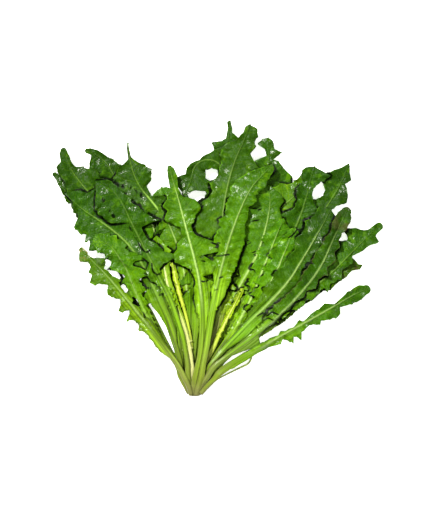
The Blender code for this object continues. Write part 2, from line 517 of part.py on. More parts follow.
def stalk_object(home):
    """A thin broken stalk beside the crown, lying on the surface."""
    curve = bpy.data.curves.new("broken_stalk", "CURVE")
    curve.dimensions = "3D"
    line, along = spine_of(STALK, step=1.0, rounds=3)
    at = np.linspace(0, along[-1], 14)
    spline = curve.splines.new("POLY")
    spline.points.add(len(at) - 1)
    for k, s in enumerate(at):
        px, py = (np.interp(s, along, line[:, c]) for c in (0, 1))
        lift = 0.0002 + 0.0035 * (s / along[-1]) ** 2
        x, y, z = to_world(px, py, 0)
        spline.points[k].co = (x, y, STALK_RADIUS + lift, 1)
        spline.points[k].radius = 1.0 - 0.25 * (1 - s / along[-1])
    curve.bevel_depth = STALK_RADIUS
    curve.bevel_resolution = 2
    curve.use_fill_caps = True
    obj = bpy.data.objects.new("broken_stalk", curve)
    home.objects.link(obj)
    curve.materials.append(material_of("broken_stalk", "stalk"))
    return obj


def main():
    for obj in list(bpy.data.objects):
        bpy.data.objects.remove(obj, do_unlink=True)
    home = bpy.data.collections.new("endive_head")
    bpy.context.scene.collection.children.link(home)
    for index, (leaf, sheet, z, thick) in enumerate(laid_leaves()):
        leaf_object(leaf[0], sheet, z, thick, leaf[7], index, home)
    core_object(home)
    stalk_object(home)


main()
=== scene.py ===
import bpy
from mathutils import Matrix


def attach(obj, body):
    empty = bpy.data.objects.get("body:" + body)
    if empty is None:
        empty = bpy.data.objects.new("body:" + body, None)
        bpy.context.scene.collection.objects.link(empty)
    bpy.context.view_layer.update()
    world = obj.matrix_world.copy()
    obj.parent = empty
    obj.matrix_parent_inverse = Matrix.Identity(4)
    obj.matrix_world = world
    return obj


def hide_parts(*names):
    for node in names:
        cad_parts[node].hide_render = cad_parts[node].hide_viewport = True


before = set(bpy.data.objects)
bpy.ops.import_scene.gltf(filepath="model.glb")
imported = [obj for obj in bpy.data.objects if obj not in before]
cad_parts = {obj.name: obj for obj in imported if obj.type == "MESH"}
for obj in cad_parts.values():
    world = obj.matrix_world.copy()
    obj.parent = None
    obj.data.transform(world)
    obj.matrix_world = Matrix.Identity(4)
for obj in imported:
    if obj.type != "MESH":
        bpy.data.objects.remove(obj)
# A head of long-leaved endive lying on its side, seen from above: forty-one
# leaves that fan out from one cut stem end.  The plan of each leaf and the
# order in which they lie on each other are the same as in the solid parts;
# here each leaf gets its teeth, midrib, side veins, puckers and curled margins.
import math

import bmesh
import bpy
import numpy as np
from mathutils import Vector

# ---------------------------------------------------------------- dimensions
UNIT = 0.0013  # metres in one plan unit
PLAN_CENTRE = (217.7, 257.8)  # plan point that lies over the world origin
MM = 0.001 / UNIT  # one millimetre in plan units

CROWN = (194.5, 391.5)  # plan centre that the petioles run out from
START_R = 8.5  # plan radius at which the petioles begin
FAN_STEP = math.radians(22)  # least angle between two petioles of one layer there
LAYER_PITCH = 3.7 * MM  # height between two layers of petioles at the crown

PETIOLE_T = 3.0 * MM  # thickness of a petiole
RIB_T = 2.4 * MM  # thickness of the blade on its midrib
BLADE_T = 1.3 * MM  # thickness of the blade at its margin
GAP = 0.55 * MM  # air left under every leaf

CORE_RADIUS = 0.0081  # of the stem end, seen from above
CORE_HEIGHT = 0.0230
CORE_CUT = 0.0042  # from the fan's centre to the cut face
CORE_LIFT = 0.0006  # of its lowest point above the surface

STALK_RADIUS = 0.0013

CELL = 0.35  # plan units in one cell of the height map
MAP_X0, MAP_Y0, MAP_X1, MAP_Y1 = 30, 100, 410, 410
ACROSS = (-1.0, -0.42, 0.0, 0.42, 1.0)  # columns of the leaf cage, in half widths

# ------------------------------------------------------------- table of leaves
# name, layer (0 is lowest), column at the crown (0 is left),
# midrib in plan from above the crown to the tip,
# half widths as (share of the length, left, right) in plan units,
# height wanted at mid length and at the tip in millimetres, kind
LEAVES = [
    # lowest layer: six flat leaves on the surface, covered by the others
    ("under_leaf_1", 0, 0, [(181, 370), (160, 340), (138, 305), (121, 275), (110, 256)],
     [(0, 2, 2), (.35, 2.8, 2.8), (.5, 6, 6), (.75, 11, 12), (.92, 8, 8), (1, 2, 2)], 0, 0, "green"),
    ("under_leaf_2", 0, 1, [(185, 368), (167, 320), (148, 265), (131, 215), (122, 192)],
     [(0, 2, 2), (.35, 2.8, 2.8), (.5, 6, 6), (.75, 14, 14), (.92, 11, 11), (1, 3, 3)], 0, 0, "green"),
    ("under_leaf_3", 0, 2, [(191, 366), (185, 310), (176, 250), (167, 205), (161, 187)],
     [(0, 2, 2), (.35, 2.8, 2.8), (.5, 6, 6), (.75, 13, 14), (.92, 10, 10), (1, 3, 3)], 0, 0, "green"),
    ("under_leaf_4", 0, 3, [(198, 366), (204, 300), (212, 245), (220, 205), (225, 186)],
     [(0, 2, 2), (.35, 2.8, 2.8), (.5, 6, 6), (.75, 13, 14), (.92, 10, 10), (1, 3, 3)], 0, 0, "green"),
    ("under_leaf_5", 0, 4, [(205, 366), (226, 310), (252, 255), (276, 212), (290, 190)],
     [(0, 2, 2), (.35, 2.8, 2.8), (.5, 6, 6), (.75, 14, 14), (.92, 11, 11), (1, 3, 3)], 0, 0, "green"),
    ("under_leaf_6", 0, 5, [(212, 368), (243, 332), (280, 296), (312, 267), (334, 247)],
     [(0, 2, 2), (.35, 2.8, 2.8), (.5, 6, 6), (.75, 12, 12), (.92, 9, 9), (1, 3, 3)], 0, 0, "green"),
    # second layer
    ("left_outer_slim_leaf", 1, 0, [(180, 368), (152, 312), (120, 262), (92, 225), (73, 201), (61, 184), (54, 173)],
     [(0, 2, 2), (.4, 2.6, 2.6), (.55, 5, 5), (.72, 9, 9), (.86, 6, 6), (.94, 3, 3), (1, 1.2, 1.2)], 9, 8, "dark"),
    ("left_curled_leaf", 1, 1, [(186, 366), (172, 322), (152, 272), (133, 224), (120, 186), (109, 165), (97, 155), (86, 151)],
     [(0, 2, 2), (.38, 2.8, 2.8), (.52, 6, 6), (.7, 12, 12), (.85, 11, 10), (.94, 6, 5), (1, 1.5, 1.5)], 10, 16, "dark"),
    ("centre_rib_leaf", 1, 2, [(195, 366), (203, 332), (207, 308), (210, 285), (212, 258), (211, 233), (207, 213), (202, 198)],
     [(0, 2, 2), (.3, 3, 3), (.5, 6, 6), (.75, 11, 11), (.92, 8, 8), (1, 2, 2)], 9, 9, "green"),
    ("top_dark_leaf", 1, 3, [(199, 366), (206, 320), (214, 260), (221, 205), (226, 165), (228, 142), (230, 121)],
     [(0, 2, 2), (.38, 2.8, 2.8), (.52, 6, 6), (.68, 13, 13), (.84, 13, 9), (.9, 14, 7), (.94, 3.5, 3.5), (1, 1.6, 1.6)], 9, 12, "dark"),
    ("top_right_narrow_leaf", 1, 4, [(205, 365), (216, 320), (233, 265), (250, 215), (262, 186), (269, 168), (268, 153), (268, 138)],
     [(0, 2, 2), (.38, 2.8, 2.8), (.52, 6, 6), (.7, 13, 13), (.85, 10, 15), (.93, 4, 5), (1, 1.5, 1.5)], 9, 14, "dark"),
    ("far_top_right_leaf", 1, 5, [(212, 367), (240, 325), (270, 284), (290, 258), (305, 238), (317, 220), (328, 204), (338, 188), (344, 176), (348, 164)],
     [(0, 2, 2), (.42, 2.8, 2.8), (.55, 6, 6), (.72, 11, 11), (.86, 12, 9), (.95, 9, 6), (1, 2, 2)], 8, 12, "dark"),
    # third layer
    ("left_upper_leaf", 2, 0, [(181, 366), (165, 318), (145, 270), (120, 226), (100, 204), (87, 190), (73, 172), (64, 149)],
     [(0, 2, 2), (.4, 2.8, 2.8), (.52, 6, 6), (.68, 12, 12), (.84, 10, 14), (.93, 5, 6), (1, 1.8, 1.8)], 13, 20, "dark"),
    ("left_pale_rib_leaf", 2, 1, [(187, 366), (184, 335), (176, 295), (165, 262), (158, 243), (154, 228), (150, 215), (144, 199), (140, 188)],
     [(0, 2, 2), (.35, 3, 3), (.5, 7, 7), (.75, 13, 13), (.92, 11, 12), (1, 3, 3)], 12, 14, "green"),
    ("folded_leaf", 2, 2, [(194, 366), (203, 312), (212, 256), (220, 214), (226, 190), (226, 172), (216, 161), (203, 160), (194, 167), (192, 179), (188, 190), (184, 199)],
     [(0, 2, 2), (.33, 2.8, 2.8), (.45, 6, 6), (.6, 10, 9), (.7, 8, 7), (.8, 5, 5), (.86, 8, 7), (.93, 10, 8), (.97, 7, 6), (1, 1.5, 1.2)], 13, 18, "dark"),
    ("right_inner_leaf", 2, 3, [(201, 366), (226, 315), (248, 267), (263, 234), (275, 213), (286, 203), (297, 194), (304, 182), (303, 171)],
     [(0, 2, 2), (.35, 2.8, 2.8), (.48, 7, 7), (.65, 12, 13), (.82, 13, 12), (.93, 10, 8), (1, 3, 3)], 12, 16, "green"),
    ("ragged_top_leaf", 2, 4, [(207, 365), (234, 317), (260, 278), (279, 252), (292, 234), (300, 216), (305, 200), (309, 182), (314, 167)],
     [(0, 2, 2), (.4, 2.8, 2.8), (.52, 7, 7), (.68, 12, 12), (.84, 11, 13), (.94, 10, 12), (1, 5, 5)], 12, 18, "dark"),
    ("right_hidden_rib_leaf", 2, 5, [(213, 366), (241, 328), (275, 288), (300, 263), (315, 246), (326, 230), (333, 214)],
     [(0, 2, 2), (.4, 2.8, 2.8), (.55, 7, 7), (.75, 12, 12), (.92, 9, 9), (1, 3, 3)], 11, 13, "green"),
    # fourth layer
    ("left_needle_leaf", 3, 0, [(182, 366), (180, 330), (176, 285), (171, 240), (162, 214), (151, 200), (142, 190), (135, 177), (131, 162), (129, 144)],
     [(0, 2, 2), (.35, 2.8, 2.8), (.5, 7, 7), (.66, 10, 10), (.76, 14, 12), (.84, 14, 16), (.9, 8, 12), (.94, 2.6, 3.5), (1, .9, .9)], 18, 26, "dark"),
    ("left_mid_leaf", 3, 1, [(189, 366), (191, 330), (188, 296), (184, 268), (177, 243), (169, 223), (160, 205)],
     [(0, 2, 2), (.35, 3, 3), (.5, 5, 5), (.68, 10, 9), (.85, 12, 10), (1, 2, 2)], 18, 22, "green"),
    ("mid_small_leaf", 3, 2, [(193, 366), (196, 330), (196, 290), (194, 258), (200, 232), (209, 220), (218, 209)],
     [(0, 2, 2), (.35, 2.8, 2.8), (.5, 6, 6), (.75, 10, 10), (.92, 7, 7), (1, 2, 2)], 20, 24, "dark"),
    ("centre_right_leaf", 3, 3, [(202, 365), (221, 320), (240, 285), (256, 256), (262, 240), (267, 221), (270, 203), (268, 186)],
     [(0, 2, 2), (.33, 2.8, 2.8), (.48, 5, 5), (.62, 13, 12), (.74, 15, 13), (.88, 13, 12), (1, 2.5, 2.5)], 17, 22, "green"),
    ("right_curled_leaf", 3, 4, [(209, 368), (232, 352), (268, 328), (298, 306), (314, 293), (330, 280), (346, 270), (362, 265)],
     [(0, 2, 2), (.4, 2.8, 2.8), (.55, 7, 6), (.75, 9, 9), (.9, 6, 8), (1, 1.5, 1.5)], 13, 8, "purple"),
    ("right_side_leaf", 3, 5, [(214, 369), (238, 346), (272, 316), (302, 288), (322, 266), (338, 250), (352, 240)],
     [(0, 2, 2), (.4, 2.8, 2.8), (.55, 6, 6), (.75, 10, 10), (.92, 8, 8), (1, 2, 2)], 12, 10, "green"),
    # fifth layer
    ("left_big_leaf", 4, 0, [(182, 367), (178, 352), (168, 320), (158, 296), (150, 278), (142, 262), (134, 250), (124, 239), (112, 229), (102, 222), (90, 214), (80, 207), (66, 194)],
     [(0, 2, 2), (.3, 2.8, 2.8), (.45, 5, 5), (.58, 9, 11), (.72, 12, 15), (.84, 12, 15), (.93, 8, 12), (1, 2, 2)], 21, 15, "dark"),
    ("lime_streak_leaf", 4, 1, [(188, 366), (192, 345), (188, 322), (183, 303), (178, 288), (175, 274), (173, 262), (170, 247)],
     [(0, 2, 2), (.35, 2.6, 2.6), (.55, 3.2, 3.6), (.75, 4.6, 6), (.88, 5, 6), (1, 2, 2)], 20, 22, "heart"),
    ("centre_violet_leaf", 4, 2, [(196, 366), (208, 346), (215, 328), (220, 306), (224, 285), (229, 265), (233, 248), (235, 230)],
     [(0, 2, 2), (.25, 3.4, 3.4), (.55, 4.4, 4.4), (.75, 8, 8), (.9, 8, 8), (1, 2, 2)], 19, 20, "violet"),
    ("heart_leaf", 4, 3, [(202, 366), (212, 350), (220, 332), (228, 316), (236, 301), (243, 288)],
     [(0, 2, 2), (.3, 2.6, 2.6), (.45, 3.2, 2.8), (.62, 4.5, 3.4), (.78, 6.5, 5), (.9, 6, 5), (1, 2, 2)], 20, 20, "heart"),
    ("right_broad_leaf", 4, 4, [(208, 367), (219, 352), (233, 332), (250, 300), (257, 284), (264, 265), (270, 250), (276, 235), (283, 219)],
     [(0, 2, 2), (.2, 3.5, 3.5), (.44, 4.4, 4.4), (.58, 6, 8), (.72, 10, 12), (.9, 12, 12), (1, 2, 2)], 20, 22, "green"),
    ("right_second_leaf", 4, 5, [(214, 368), (228, 350), (244, 328), (260, 299), (270, 282), (277, 269), (283, 254), (289, 240), (294, 228)],
     [(0, 2, 2), (.25, 3.2, 3.2), (.42, 4.5, 4.5), (.55, 9, 10), (.7, 13, 14), (.9, 12, 12), (1, 2, 2)], 19, 22, "green"),
    # sixth layer
    ("left_low_leaf", 5, 0, [(181, 366), (165, 346), (149, 318), (137, 294), (126, 266), (113, 246), (94, 237)],
     [(0, 2, 2), (.35, 2.8, 2.8), (.5, 5, 5), (.66, 10, 11), (.82, 15, 14), (.93, 12, 10), (1, 3, 3)], 18, 8, "green"),
    ("winged_stalk_leaf", 5, 2, [(191, 366), (188, 346), (182, 325), (174, 303), (168, 285), (165, 268), (162, 250), (157, 236)],
     [(0, 2.4, 2.4), (.2, 4, 4), (.45, 5, 5), (.62, 7, 5.5), (.8, 10, 6), (.92, 8, 6), (1, 3, 3)], 19, 18, "pale"),
    ("left_over_leaf", 5, 1, [(189, 366), (184, 338), (172, 301), (158, 273), (146, 250), (137, 232), (131, 220), (125, 206), (117, 194), (107, 186), (97, 181)],
     [(0, 2, 2), (.35, 3, 3), (.48, 5, 6), (.6, 7, 12), (.7, 9, 13), (.8, 17, 14), (.9, 13, 9), (1, 2, 2)], 21, 24, "dark"),
    ("big_top_leaf", 5, 3, [(202, 365), (208, 335), (215, 300), (220, 265), (222, 240), (222, 220), (225, 198), (230, 176), (236, 158), (243, 144), (250, 126)],
     [(0, 2, 2), (.3, 3, 3), (.45, 3.8, 3.8), (.53, 8, 9), (.64, 11, 12), (.76, 12, 15), (.86, 14, 14), (.92, 8, 9), (.97, 6.5, 7), (1, 3.5, 3.5)], 28, 29, "green"),
    ("right_long_leaf", 5, 4, [(208, 366), (226, 345), (246, 324), (267, 304), (281, 289), (291, 276), (299, 263), (307, 250), (315, 236), (322, 224), (330, 209)],
     [(0, 2, 2), (.3, 3, 3), (.4, 4, 4.5), (.52, 8, 10), (.65, 11, 14), (.85, 11, 14), (.95, 8, 8), (1, 2.5, 2.5)], 26, 24, "green"),
    ("far_right_leaf", 5, 5, [(214, 369), (230, 352), (263, 325), (300, 298), (330, 273), (351, 252), (366, 237), (381, 224)],
     [(0, 2, 2), (.35, 2.8, 2.8), (.5, 6, 6), (.68, 10, 10), (.84, 12, 10), (.94, 8, 5), (1, 2, 2)], 19, 12, "dark"),
    # top layer
    ("far_left_leaf", 6, 0, [(180, 365), (165, 346), (145, 320), (127, 298), (109, 277), (92, 260), (80, 248)],
     [(0, 2, 2), (.3, 2.8, 2.8), (.42, 5, 3.5), (.6, 9, 6), (.78, 10, 8), (.9, 9, 7), (1, 2, 2)], 13, 4, "brown_tip"),
    ("front_left_leaf", 6, 1, [(198, 366), (202, 345), (203, 320), (202, 300), (199, 276), (193, 252), (187, 230), (179, 200), (173, 180), (170, 167)],
     [(0, 2.4, 2.4), (.3, 3.2, 3.2), (.44, 5, 5), (.54, 8, 9), (.6, 14, 14), (.68, 13, 12), (.78, 15, 15), (.87, 8, 8), (.93, 4.5, 4.5), (1, 1.5, 1.5)], 34, 34, "green"),
    ("front_centre_leaf", 6, 2, [(203, 366), (207, 344), (211, 318), (217, 285), (223, 261), (229, 240), (236, 220), (244, 201), (251, 188), (262, 176), (272, 166)],
     [(0, 2.4, 2.4), (.3, 3.2, 3.2), (.47, 4.4, 5), (.55, 9, 11), (.62, 14, 14), (.75, 15, 13), (.88, 12, 10), (.96, 6, 5), (1, 2, 2)], 34, 32, "green"),
    ("front_right_leaf", 6, 4, [(209, 368), (226, 355), (250, 338), (272, 320), (293, 300), (311, 279), (322, 262), (330, 243), (339, 224), (347, 208)],
     [(0, 2, 2), (.28, 3, 3), (.38, 4, 4), (.5, 8, 10), (.65, 10, 13), (.78, 10, 12), (.85, 7, 8), (.93, 8, 8), (1, 4, 4)], 30, 24, "purple"),
    ("low_right_leaf", 6, 5, [(214, 372), (225, 366), (238, 359), (254, 350), (270, 341), (290, 330), (312, 318), (330, 308), (347, 298), (358, 292), (370, 288)],
     [(0, 2, 2), (.25, 2.8, 2.8), (.4, 5, 6), (.55, 9, 8), (.68, 11, 10), (.78, 9, 9), (.86, 6, 7), (.95, 6, 6), (1, 3, 3)], 11, 5, "green"),
]

STALK = [(214.5, 380.5), (225, 375), (237, 369), (247.5, 364), (250, 361), (251.5, 356.5)]

# colour, roughness of each kind of leaf
KINDS = {
    "green": ((0.075, 0.27, 0.010), 0.38),
    "dark": ((0.035, 0.17, 0.008), 0.38),
    "heart": ((0.62, 0.75, 0.10), 0.40),
    "pale": ((0.30, 0.50, 0.06), 0.40),
    "violet": ((0.17, 0.28, 0.05), 0.42),
    "purple": ((0.06, 0.18, 0.03), 0.36),
    "brown_tip": ((0.07, 0.23, 0.012), 0.42),
    "core": ((0.42, 0.40, 0.22), 0.60),
    "stalk": ((0.45, 0.58, 0.12), 0.45),
}


# ------------------------------------------------------------ plan geometry
def aim(points):
    """The angle from straight up in plan of the way from the crown to the first point."""
    return math.atan2(points[0][0] - CROWN[0], CROWN[1] - points[0][1])


def start_angles():
    """For each leaf the angle at which it leaves the crown, spread within its layer."""
    out = {}
    for layer in sorted({leaf[1] for leaf in LEAVES}):
        row = sorted((leaf for leaf in LEAVES if leaf[1] == layer), key=lambda leaf: leaf[2])
        angles = [aim(leaf[3]) for leaf in row]
        for _ in range(200):
            for k in range(len(row) - 1):
                short = FAN_STEP - (angles[k + 1] - angles[k])
                if short > 0:
                    angles[k] -= short / 2
                    angles[k + 1] += short / 2
        for leaf, angle in zip(row, angles):
            out[leaf[0]] = angle
    return out


def crown_points(leaf, angles):
    """The way of one petiole out of the crown, from its lower end."""
    start, end = angles[leaf[0]], aim(leaf[3])
    return [
        (CROWN[0] + r * math.sin(a), CROWN[1] - r * math.cos(a))
        for r, a in (
            (START_R, start),
            (START_R + 4, start * 0.95 + end * 0.05),
            (START_R + 10, start * 0.65 + end * 0.35),
        )
    ]


def spine_of(points, step=2.0, rounds=10):
    """A smooth line through the given points: (positions, arc lengths)."""
    raw = np.array(points, float)
    runs = np.hypot(*np.diff(raw, axis=0).T)
    along = np.concatenate([[0], np.cumsum(runs)])
    count = int(round(along[-1] / step)) + 1
    at = np.linspace(0, along[-1], count)
    line = np.column_stack([np.interp(at, along, raw[:, k]) for k in (0, 1)])
    for _ in range(rounds):
        line[1:-1] = 0.25 * line[:-2] + 0.5 * line[1:-1] + 0.25 * line[2:]
    runs = np.hypot(*np.diff(line, axis=0).T)
    return line, np.concatenate([[0], np.cumsum(runs)])


def on_spine(line, along, s):
    """Positions and left-hand normals at arc lengths s."""
    s = np.asarray(s, float)
    here = np.column_stack([np.interp(s, along, line[:, k]) for k in (0, 1)])
    ahead = np.column_stack([np.interp(s + 3, along, line[:, k]) for k in (0, 1)])
    behind = np.column_stack([np.interp(s - 3, along, line[:, k]) for k in (0, 1)])
    way = ahead - behind
    way /= np.maximum(np.hypot(way[:, 0], way[:, 1]), 1e-9)[:, None]
    # plan y points down, so the left-hand side of a way (a, b) is (b, -a)
    return here, np.column_stack([way[:, 1], -way[:, 0]])


def half_widths(table, share):
    rows = np.array(table, float)
    return np.interp(share, rows[:, 0], rows[:, 1]), np.interp(
        share, rows[:, 0], rows[:, 2]
    )


def stations_of(length, table):
    """Arc lengths of the cage's cross sections, and the lobe factors there."""
    rows = np.array(table, float)
    start = length * float(np.interp(4.5, rows[: rows[:, 1].argmax() + 1, 1],
                                     rows[: rows[:, 1].argmax() + 1, 0]))
    stem = [s for s in (0.0, 8.0, 20.0, 40.0, 64.0) if s < start - 8]
    blade = max(5, int(round((length - start) / 12.5)))
    s = np.concatenate([stem, np.linspace(start, length, blade + 1)])
    left, right = np.ones(len(s)), np.ones(len(s))
    for i in range(len(stem) + 1, len(s) - 1):
        if i % 2:
            left[i], right[i] = 1.10, 0.70
        else:
            left[i], right[i] = 0.70, 1.10
    return s, left, right


def cage_of(leaf, angles):
    """The coarse sheet of one leaf in plan: (stations, 5, 2) positions, thickness."""
    _, layer, column, points, table, mid, tip, kind = leaf
    line, along = spine_of(crown_points(leaf, angles) + points)
    s, fl, fr = stations_of(along[-1], table)
    left, right = half_widths(table, s / along[-1])
    # the petiole narrows to its lower end
    neck = np.clip(0.42 + 0.58 * s / 12.0, 0, 1)
    left, right = left * fl * neck, right * fr * neck
    here, normal = on_spine(line, along, s)
    wide = np.maximum(left, right)
    sheet = np.empty((len(s), len(ACROSS), 2))
    for j, a in enumerate(ACROSS):
        half = left if a > 0 else right
        sheet[:, j] = here + normal * (a * half)[:, None]
    blade = np.clip((wide - 3.4) / 4.0, 0, 1)
    thick = np.empty((len(s), len(ACROSS)))
    for j, a in enumerate(ACROSS):
        rib = RIB_T + (PETIOLE_T - RIB_T) * (1 - blade)
        edge = BLADE_T + (PETIOLE_T * 0.86 - BLADE_T) * (1 - blade)
        mix = (0.0, 0.75, 1.0)[int(round(abs(a) / 0.5))] if abs(a) > 0 else 0.0
        thick[:, j] = rib + (edge - rib) * mix
    thick *= np.clip(0.72 + 0.28 * s / 12.0, 0, 1)[:, None]
    return sheet, thick, s, along[-1], wide, line, along


def cage_faces(rows, cols=len(ACROSS)):
    """The triangles of a cage whose vertices run row by row."""
    faces = []
    for i in range(rows - 1):
        for j in range(cols - 1):
            a, b = i * cols + j, i * cols + j + 1
            c, d = (i + 1) * cols + j + 1, (i + 1) * cols + j
            faces += [(a, b, c), (a, c, d)]
    return np.array(faces)


# -------------------------------------------------------- laying on each other
MAP_SHAPE = (int((MAP_Y1 - MAP_Y0) / CELL), int((MAP_X1 - MAP_X0) / CELL))


def footprint(plan, faces):
    """Cells of the height map under each triangle, with the corners' weights."""
    cells, corners, weights = [], [], []
    grid = (plan - (MAP_X0, MAP_Y0)) / CELL - 0.5
    for face in faces:
        p = grid[list(face)]
        c0, r0 = np.floor(p.min(axis=0)).astype(int)
        c1, r1 = np.ceil(p.max(axis=0)).astype(int)
        cc, rr = np.meshgrid(np.arange(c0, c1 + 1), np.arange(r0, r1 + 1))
        cc, rr = cc.ravel(), rr.ravel()
        ax, ay = p[1] - p[0]
        bx, by = p[2] - p[0]
        det = ax * by - ay * bx
        if abs(det) < 1e-9:
            continue
        qx, qy = cc - p[0, 0], rr - p[0, 1]
        w1 = (qx * by - qy * bx) / det
        w2 = (qy * ax - qx * ay) / det
        w0 = 1 - w1 - w2
        # half a cell outside the triangle still counts
        slack = 0.5 * max(np.hypot(ax, ay), np.hypot(bx, by), np.hypot(ax - bx, ay - by)) / abs(det)
        inside = (w0 > -slack) & (w1 > -slack) & (w2 > -slack)
        if not inside.any():
            continue
        w = np.clip(np.column_stack([w0, w1, w2])[inside], 0, 1)
        w /= w.sum(axis=1, keepdims=True)
        cells.append(rr[inside] * MAP_SHAPE[1] + cc[inside])
        corners.append(np.repeat([face], inside.sum(), axis=0))
        weights.append(w)
    return np.concatenate(cells), np.concatenate(corners), np.concatenate(weights)


def sheet_normals(points, faces):
    """Vertex normals of a sheet, each face weighted by its corner's angle."""
    out = np.zeros_like(points)
    a, b, c = (points[faces[:, k]] for k in range(3))
    n = np.cross(b - a, c - a)
    n /= np.maximum(np.linalg.norm(n, axis=1), 1e-12)[:, None]
    for k in range(3):
        p = points[faces[:, k]]
        q, r = points[faces[:, (k + 1) % 3]] - p, points[faces[:, (k + 2) % 3]] - p
        q /= np.maximum(np.linalg.norm(q, axis=1), 1e-12)[:, None]
        r /= np.maximum(np.linalg.norm(r, axis=1), 1e-12)[:, None]
        angle = np.arccos(np.clip((q * r).sum(axis=1), -1, 1))
        np.add.at(out, faces[:, k], n * angle[:, None])
    out /= np.maximum(np.linalg.norm(out, axis=1), 1e-12)[:, None]
    return out


def wanted_heights(leaf, s, length, cols):
    """The height a leaf would take with nothing under it, in plan units."""
    _, layer, _, _, _, mid, tip, _ = leaf
    base = layer * LAYER_PITCH
    share = s / length
    z = np.interp(
        share,
        [0, 0.10, 0.35, 0.68, 1.0],
        [base, base, base + (mid * MM - base) * 0.55, mid * MM, tip * MM],
    )
    return np.repeat(z[:, None], cols, axis=1)


def lay(leaf, top, angles):
    """The heights of one leaf's underside on the height map, and the map after it."""
    sheet, thick, s, length, wide, line, along = cage_of(leaf, angles)
    rows, cols = sheet.shape[:2]
    faces = cage_faces(rows, cols)
    wanted = wanted_heights(leaf, s, length, cols)
    plan = sheet.reshape(-1, 2)
    if leaf[1] == 0:
        z = np.zeros((rows, cols))
    else:
        # a slightly wider print keeps the sides clear as well
        middle = sheet[:, [2]]
        out = sheet - middle
        reach = np.maximum(np.hypot(out[..., 0], out[..., 1]), 1e-6)[..., None]
        print_plan = (middle + out * (1 + 0.2 / reach)).reshape(-1, 2)
        cells, corners, weights = footprint(print_plan, faces)
        floor = top.ravel()[cells] + GAP
        share = weights / (weights ** 2).sum(axis=1, keepdims=True)
        stiff = np.clip((6.5 - wide) / 3.0, 0, 1)[:, None]
        z = wanted.copy()

        def push(z):
            flat = z.reshape(-1).copy()
            short = floor - (flat[corners] * weights).sum(axis=1)
            low = short > 0
            if not low.any():
                return z, 0.0
            rise = np.zeros_like(flat)
            for k in range(3):
                np.maximum.at(rise, corners[low, k], (short * share[:, k])[low])
            return (flat + rise).reshape(z.shape), float(short.max())

        for _ in range(70):
            soft = z.copy()
            soft[1:-1] = 0.25 * z[:-2] + 0.5 * z[1:-1] + 0.25 * z[2:]
            across = soft.copy()
            across[:, 1:-1] = 0.25 * soft[:, :-2] + 0.5 * soft[:, 1:-1] + 0.25 * soft[:, 2:]
            level = soft.mean(axis=1, keepdims=True)
            soft = across * (1 - stiff) + level * stiff
            z, _ = push(0.93 * soft + 0.07 * wanted)
        level = z.max(axis=1, keepdims=True)
        z = z * (1 - stiff) + level * stiff
        for _ in range(30):
            z, _ = push(z)
        flat = z.reshape(-1).copy()
        short = floor - (flat[corners] * weights).sum(axis=1)
        rise = np.zeros_like(flat)
        for k in range(3):
            np.maximum.at(rise, corners[:, k], np.maximum(short, 0))
        z = (flat + rise).reshape(z.shape)
    # world-like points, y up, so that the sheet's normals point to +Z
    points = np.column_stack([plan[:, 0], -plan[:, 1], z.reshape(-1)])
    normals = sheet_normals(points, faces)
    if normals[:, 2].mean() < 0:
        normals = -normals
    upper = points + normals * thick.reshape(-1)[:, None]
    cells, corners, weights = footprint(np.column_stack([upper[:, 0], -upper[:, 1]]), faces)
    high = (upper[:, 2][corners] * weights).sum(axis=1)
    mine = np.full(MAP_SHAPE[0] * MAP_SHAPE[1], -1.0)
    np.maximum.at(mine, cells, high)
    mine = mine.reshape(MAP_SHAPE)
    spread = mine.copy()
    for dr, dc in ((0, 1), (0, -1), (1, 0), (-1, 0)):
        spread = np.maximum(spread, np.roll(mine, (dr, dc), axis=(0, 1)))
    return z, np.maximum(top, spread)


def laid_leaves():
    """Every leaf with its cage and heights, from the lowest up."""
    top = np.zeros(MAP_SHAPE)
    angles = start_angles()
    done = []
    for leaf in LEAVES:
        z, top = lay(leaf, top, angles)
        sheet, thick, s, length, wide, line, along = cage_of(leaf, angles)
        done.append((leaf, sheet, z, thick))
    return done


def to_world(plan_x, plan_y, z):
    return (
        (plan_x - PLAN_CENTRE[0]) * UNIT,
        (PLAN_CENTRE[1] - plan_y) * UNIT,
        z * UNIT,
    )


